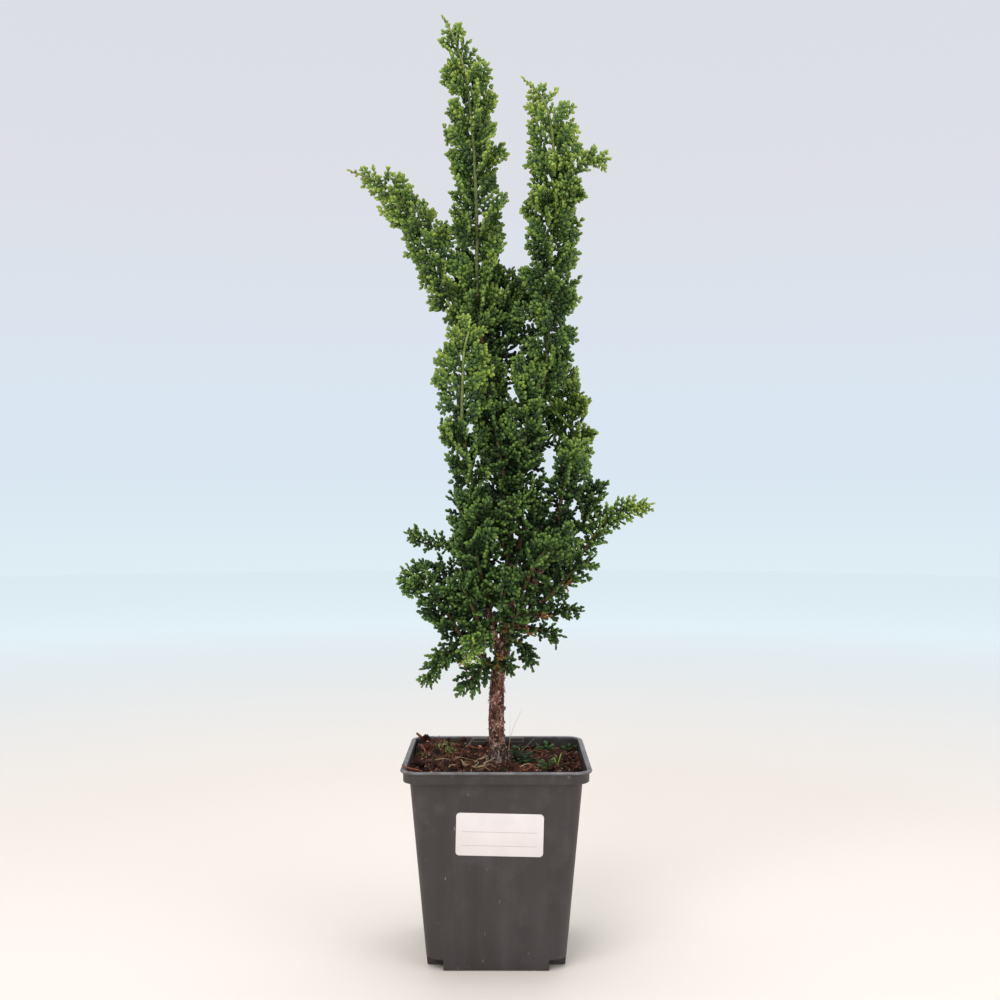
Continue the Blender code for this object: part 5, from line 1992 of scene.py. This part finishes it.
    def build_threads(self) -> list[Piece]:
        """Build the pale roots, the dry stalks and the strips of bark.

        Returns:
            The three finished pieces.
        """
        roots, stalks, strips = bmesh.new(), bmesh.new(), bmesh.new()
        for thread in ROOTS:
            self.add_thread(roots, thread, self.root_lift)
        rng = Random(self.seed + 2)
        for _ in range(self.fine_roots):
            self.add_thread(roots, self.draw_fine_root(rng))
        for thread in STALKS:
            self.add_thread(stalks, thread)
        for thread in STRIPS:
            self.add_thread(strips, thread)
        pale = PlainFinish("pale_roots", (0.30, 0.19, 0.09), (0.62, 0.48, 0.28), 0.7)
        straw = PlainFinish("dry_stalks", (0.28, 0.22, 0.15), (0.50, 0.42, 0.30), 0.6)
        bark = PlainFinish("bark_strips", (0.045, 0.014, 0.008), (0.27, 0.078, 0.034), 0.75)
        return [as_piece(name, mesh_of(name, bm), finish.build())
                for name, bm, finish in (("surface_roots", roots, pale),
                                         ("dry_stalks", stalks, straw),
                                         ("bark_strips", strips, bark))]

    def build_moss(self, rng: Random) -> Piece:
        """Build the moss cushions, of the foliage's leafy tip.

        Args:
            rng: the random numbers of all that grows on the soil.

        Returns:
            The finished piece.
        """
        moss = Gathering()
        for x, y, reach, tone in CUSHIONS:
            for _ in range(int(17 * reach)):
                turn, out = rng.uniform(0, math.tau), reach * rng.random() ** 0.7
                root = Vector((x + out * math.cos(turn), y + out * math.sin(turn), 0)) * MM
                dome = 0.9 * MM * (1 - (out / reach) ** 2)
                root.z = self.top(root.x, root.y) + dome - 0.3 * MM
                way = Vector((rng.uniform(-0.8, 0.8), rng.uniform(-0.8, 0.8), 1)).normalized()
                size = rng.uniform(0.8, 2.0) * MM
                moss.add(self.foliage.lobe,
                         pose(root, way, side_of(way), Vector((size * 0.36, size, size * 0.26))),
                         (tone - 0.2, tone + rng.uniform(-0.25, 0.25)))
        return moss.finish("moss_cushions", MossFinish().build(), "leaf")

    def build_seedlings(self, rng: Random) -> Piece:
        """Build the clumps of low seedlings and the bright sprout, of the foliage's parts.

        Args:
            rng: the random numbers of all that grows on the soil.

        Returns:
            The finished piece.
        """
        weeds, lobe, joint = Gathering(), self.foliage.lobe, self.foliage.joint
        for x, y, reach, tall, count, tone in CLUMPS:
            for _ in range(count):
                turn, out = rng.uniform(0, math.tau), 0.6 * reach * math.sqrt(rng.random())
                root = Vector((x + out * math.cos(turn), y + out * math.sin(turn), 0)) * MM
                root.z = self.top(root.x, root.y) - 0.3 * MM
                way = Vector((0.5 * math.cos(turn), 0.5 * math.sin(turn), 1.4)).normalized()
                stalk = tall * rng.uniform(0.15, 1.0) * MM
                width = 0.5 * MM
                weeds.add(joint, pose(root, way, side_of(way),
                                      Vector((width, stalk + 0.6 * MM, width))),
                          (tone - 0.2, tone - 0.1))
                spread = Vector((math.cos(turn + rng.uniform(-0.9, 0.9)),
                                 math.sin(turn + rng.uniform(-0.9, 0.9)),
                                 rng.uniform(-0.2, 0.7))).normalized()
                size = rng.uniform(2.6, 4.8) * MM
                weeds.add(lobe, pose(root + way * stalk, spread, UP,
                                     Vector((size * 0.7, size, size * 0.2))),
                          (tone - 0.15, tone + rng.uniform(-0.05, 0.2)))
        foot = Vector((*self.sprout, self.top(*self.sprout)))
        for turn, length in self.sprout_leaves:
            way = Vector((math.cos(turn) * 0.35, math.sin(turn) * 0.35, 1)).normalized()
            weeds.add(lobe, pose(foot, way, side_of(way),
                                 Vector((1.1 * MM, length * MM, 0.7 * MM))), (0.8, 1.0))
        return weeds.finish("seedlings", self.foliage.leaf, "leaf")

    def build(self) -> list[Piece]:
        """Return the root ball and all that lies and grows on it, as finished pieces."""
        rng = Random(self.seed + 1)
        return [self.build_ground(), *self.build_litter(), *self.build_threads(),
                self.build_moss(rng), self.build_seedlings(rng)]


# Studio


@dataclass(frozen=True)
class Lamp:
    """One soft rectangular lamp, aimed at a point."""

    name: str
    place: Point
    target: Point
    size: Pair
    power: float
    colour: Colour = (1.0, 1.0, 1.0)

    def build(self) -> None:
        """Add the lamp to the scene."""
        data = bpy.data.lights.new(self.name, "AREA")
        data.shape, (data.size, data.size_y) = "RECTANGLE", self.size
        data.energy, data.color = self.power, self.colour
        lamp = placed(self.name, data)
        lamp.location = self.place
        way = Vector(self.target) - Vector(self.place)
        lamp.rotation_euler = way.to_track_quat("-Z", "Y").to_euler()


@dataclass
class Studio:
    """Plain pale floor, soft lamps, pale surroundings and the photograph's camera."""

    camera_place: Point = (0.004, -0.749, 0.271)
    camera_turn: float = 0.0026
    lens: float = 44.3
    floor_radius: float = 4.0
    floor_gap: float = 0.4 * MM
    surroundings: Stops = (
        (0.0, (0.78, 0.83, 0.86)), (0.44, (0.74, 0.85, 0.91)), (0.52, (0.70, 0.80, 0.89)),
        (0.58, (0.70, 0.79, 0.88)), (0.75, (0.73, 0.74, 0.80)),
        (1.0, (0.70, 0.72, 0.78)))
    lamps: tuple[Lamp, ...] = (
        Lamp("key_softbox", (-0.55, -1.05, 1.25), (0, 0, 0.30), (0.9, 0.9), 13.0,
             (1.0, 0.985, 0.96)),
        Lamp("fill_softbox", (1.0, -0.75, 0.75), (0, 0, 0.25), (0.9, 0.9), 5.0),
        Lamp("top_softbox", (0.05, 0.25, 1.35), (0, 0, 0.3), (0.8, 0.8), 7.0))

    def add_camera(self) -> None:
        """Add the camera at the photograph's place, turn and lens."""
        data = bpy.data.cameras.new("camera")
        data.lens, data.sensor_width = self.lens, 36.0
        data.clip_start, data.clip_end = 0.01, 20.0
        camera = placed("camera", data)
        camera.location = self.camera_place
        camera.rotation_euler = (math.pi / 2, 0.0, self.camera_turn)
        bpy.context.scene.camera = camera

    def add_surroundings(self) -> None:
        """Add the surroundings, whose colours change from below to above."""
        world = bpy.data.worlds.new("pale_surroundings")
        world.use_nodes = True
        nodes, links = world.node_tree.nodes, world.node_tree.links
        height = nodes.new("ShaderNodeSeparateXYZ")
        links.new(nodes.new("ShaderNodeTexCoord").outputs["Generated"], height.inputs[0])
        share = nodes.new("ShaderNodeMapRange")
        share.inputs["From Min"].default_value, share.inputs["From Max"].default_value = -0.5, 0.5
        links.new(height.outputs["Z"], share.inputs["Value"])
        ramp = nodes.new("ShaderNodeValToRGB")
        fill_ramp(ramp.color_ramp, self.surroundings)
        links.new(share.outputs[0], ramp.inputs[0])
        links.new(ramp.outputs[0], nodes["Background"].inputs["Color"])
        bpy.context.scene.world = world

    def add_floor(self) -> None:
        """Add the floor, a little below the pot so that the two don't flicker."""
        bm = bmesh.new()
        bmesh.ops.create_circle(bm, cap_ends=True, segments=96, radius=self.floor_radius)
        bmesh.ops.translate(bm, verts=bm.verts, vec=(0, 0, -self.floor_gap))
        mesh = mesh_of("floor", bm)
        mesh.materials.append(FloorFinish().build())
        placed("floor", mesh)

    def build(self) -> None:
        """Add the camera, the lamps, the surroundings and the floor."""
        self.add_camera()
        for lamp in self.lamps:
            lamp.build()
        self.add_surroundings()
        self.add_floor()
        bpy.context.scene.view_settings.view_transform = "Standard"


def report(pieces: list[Piece]) -> None:
    """Log each piece's name and how many faces it has."""
    for piece in pieces:
        LOG.info("%s: %d faces", piece.name, len(piece.data.polygons))


def main() -> None:
    """Build every sub-assembly in order, then the studio."""
    logging.basicConfig(level=logging.INFO, format="%(name)s: %(message)s")
    wood = Wood()
    report(wood.build())
    foliage = Foliage(twigs=wood.twig_routes())
    report(foliage.build())
    report([foliage.build_inner(wood.leafy_wood()), foliage.build_dead(wood.dead_twigs())])
    pot = Pot()
    report([pot.build(), Label(pot).build()])
    report(Soil(pot, foliage).build())
    Studio().build()


if __name__ == "__main__":
    main()
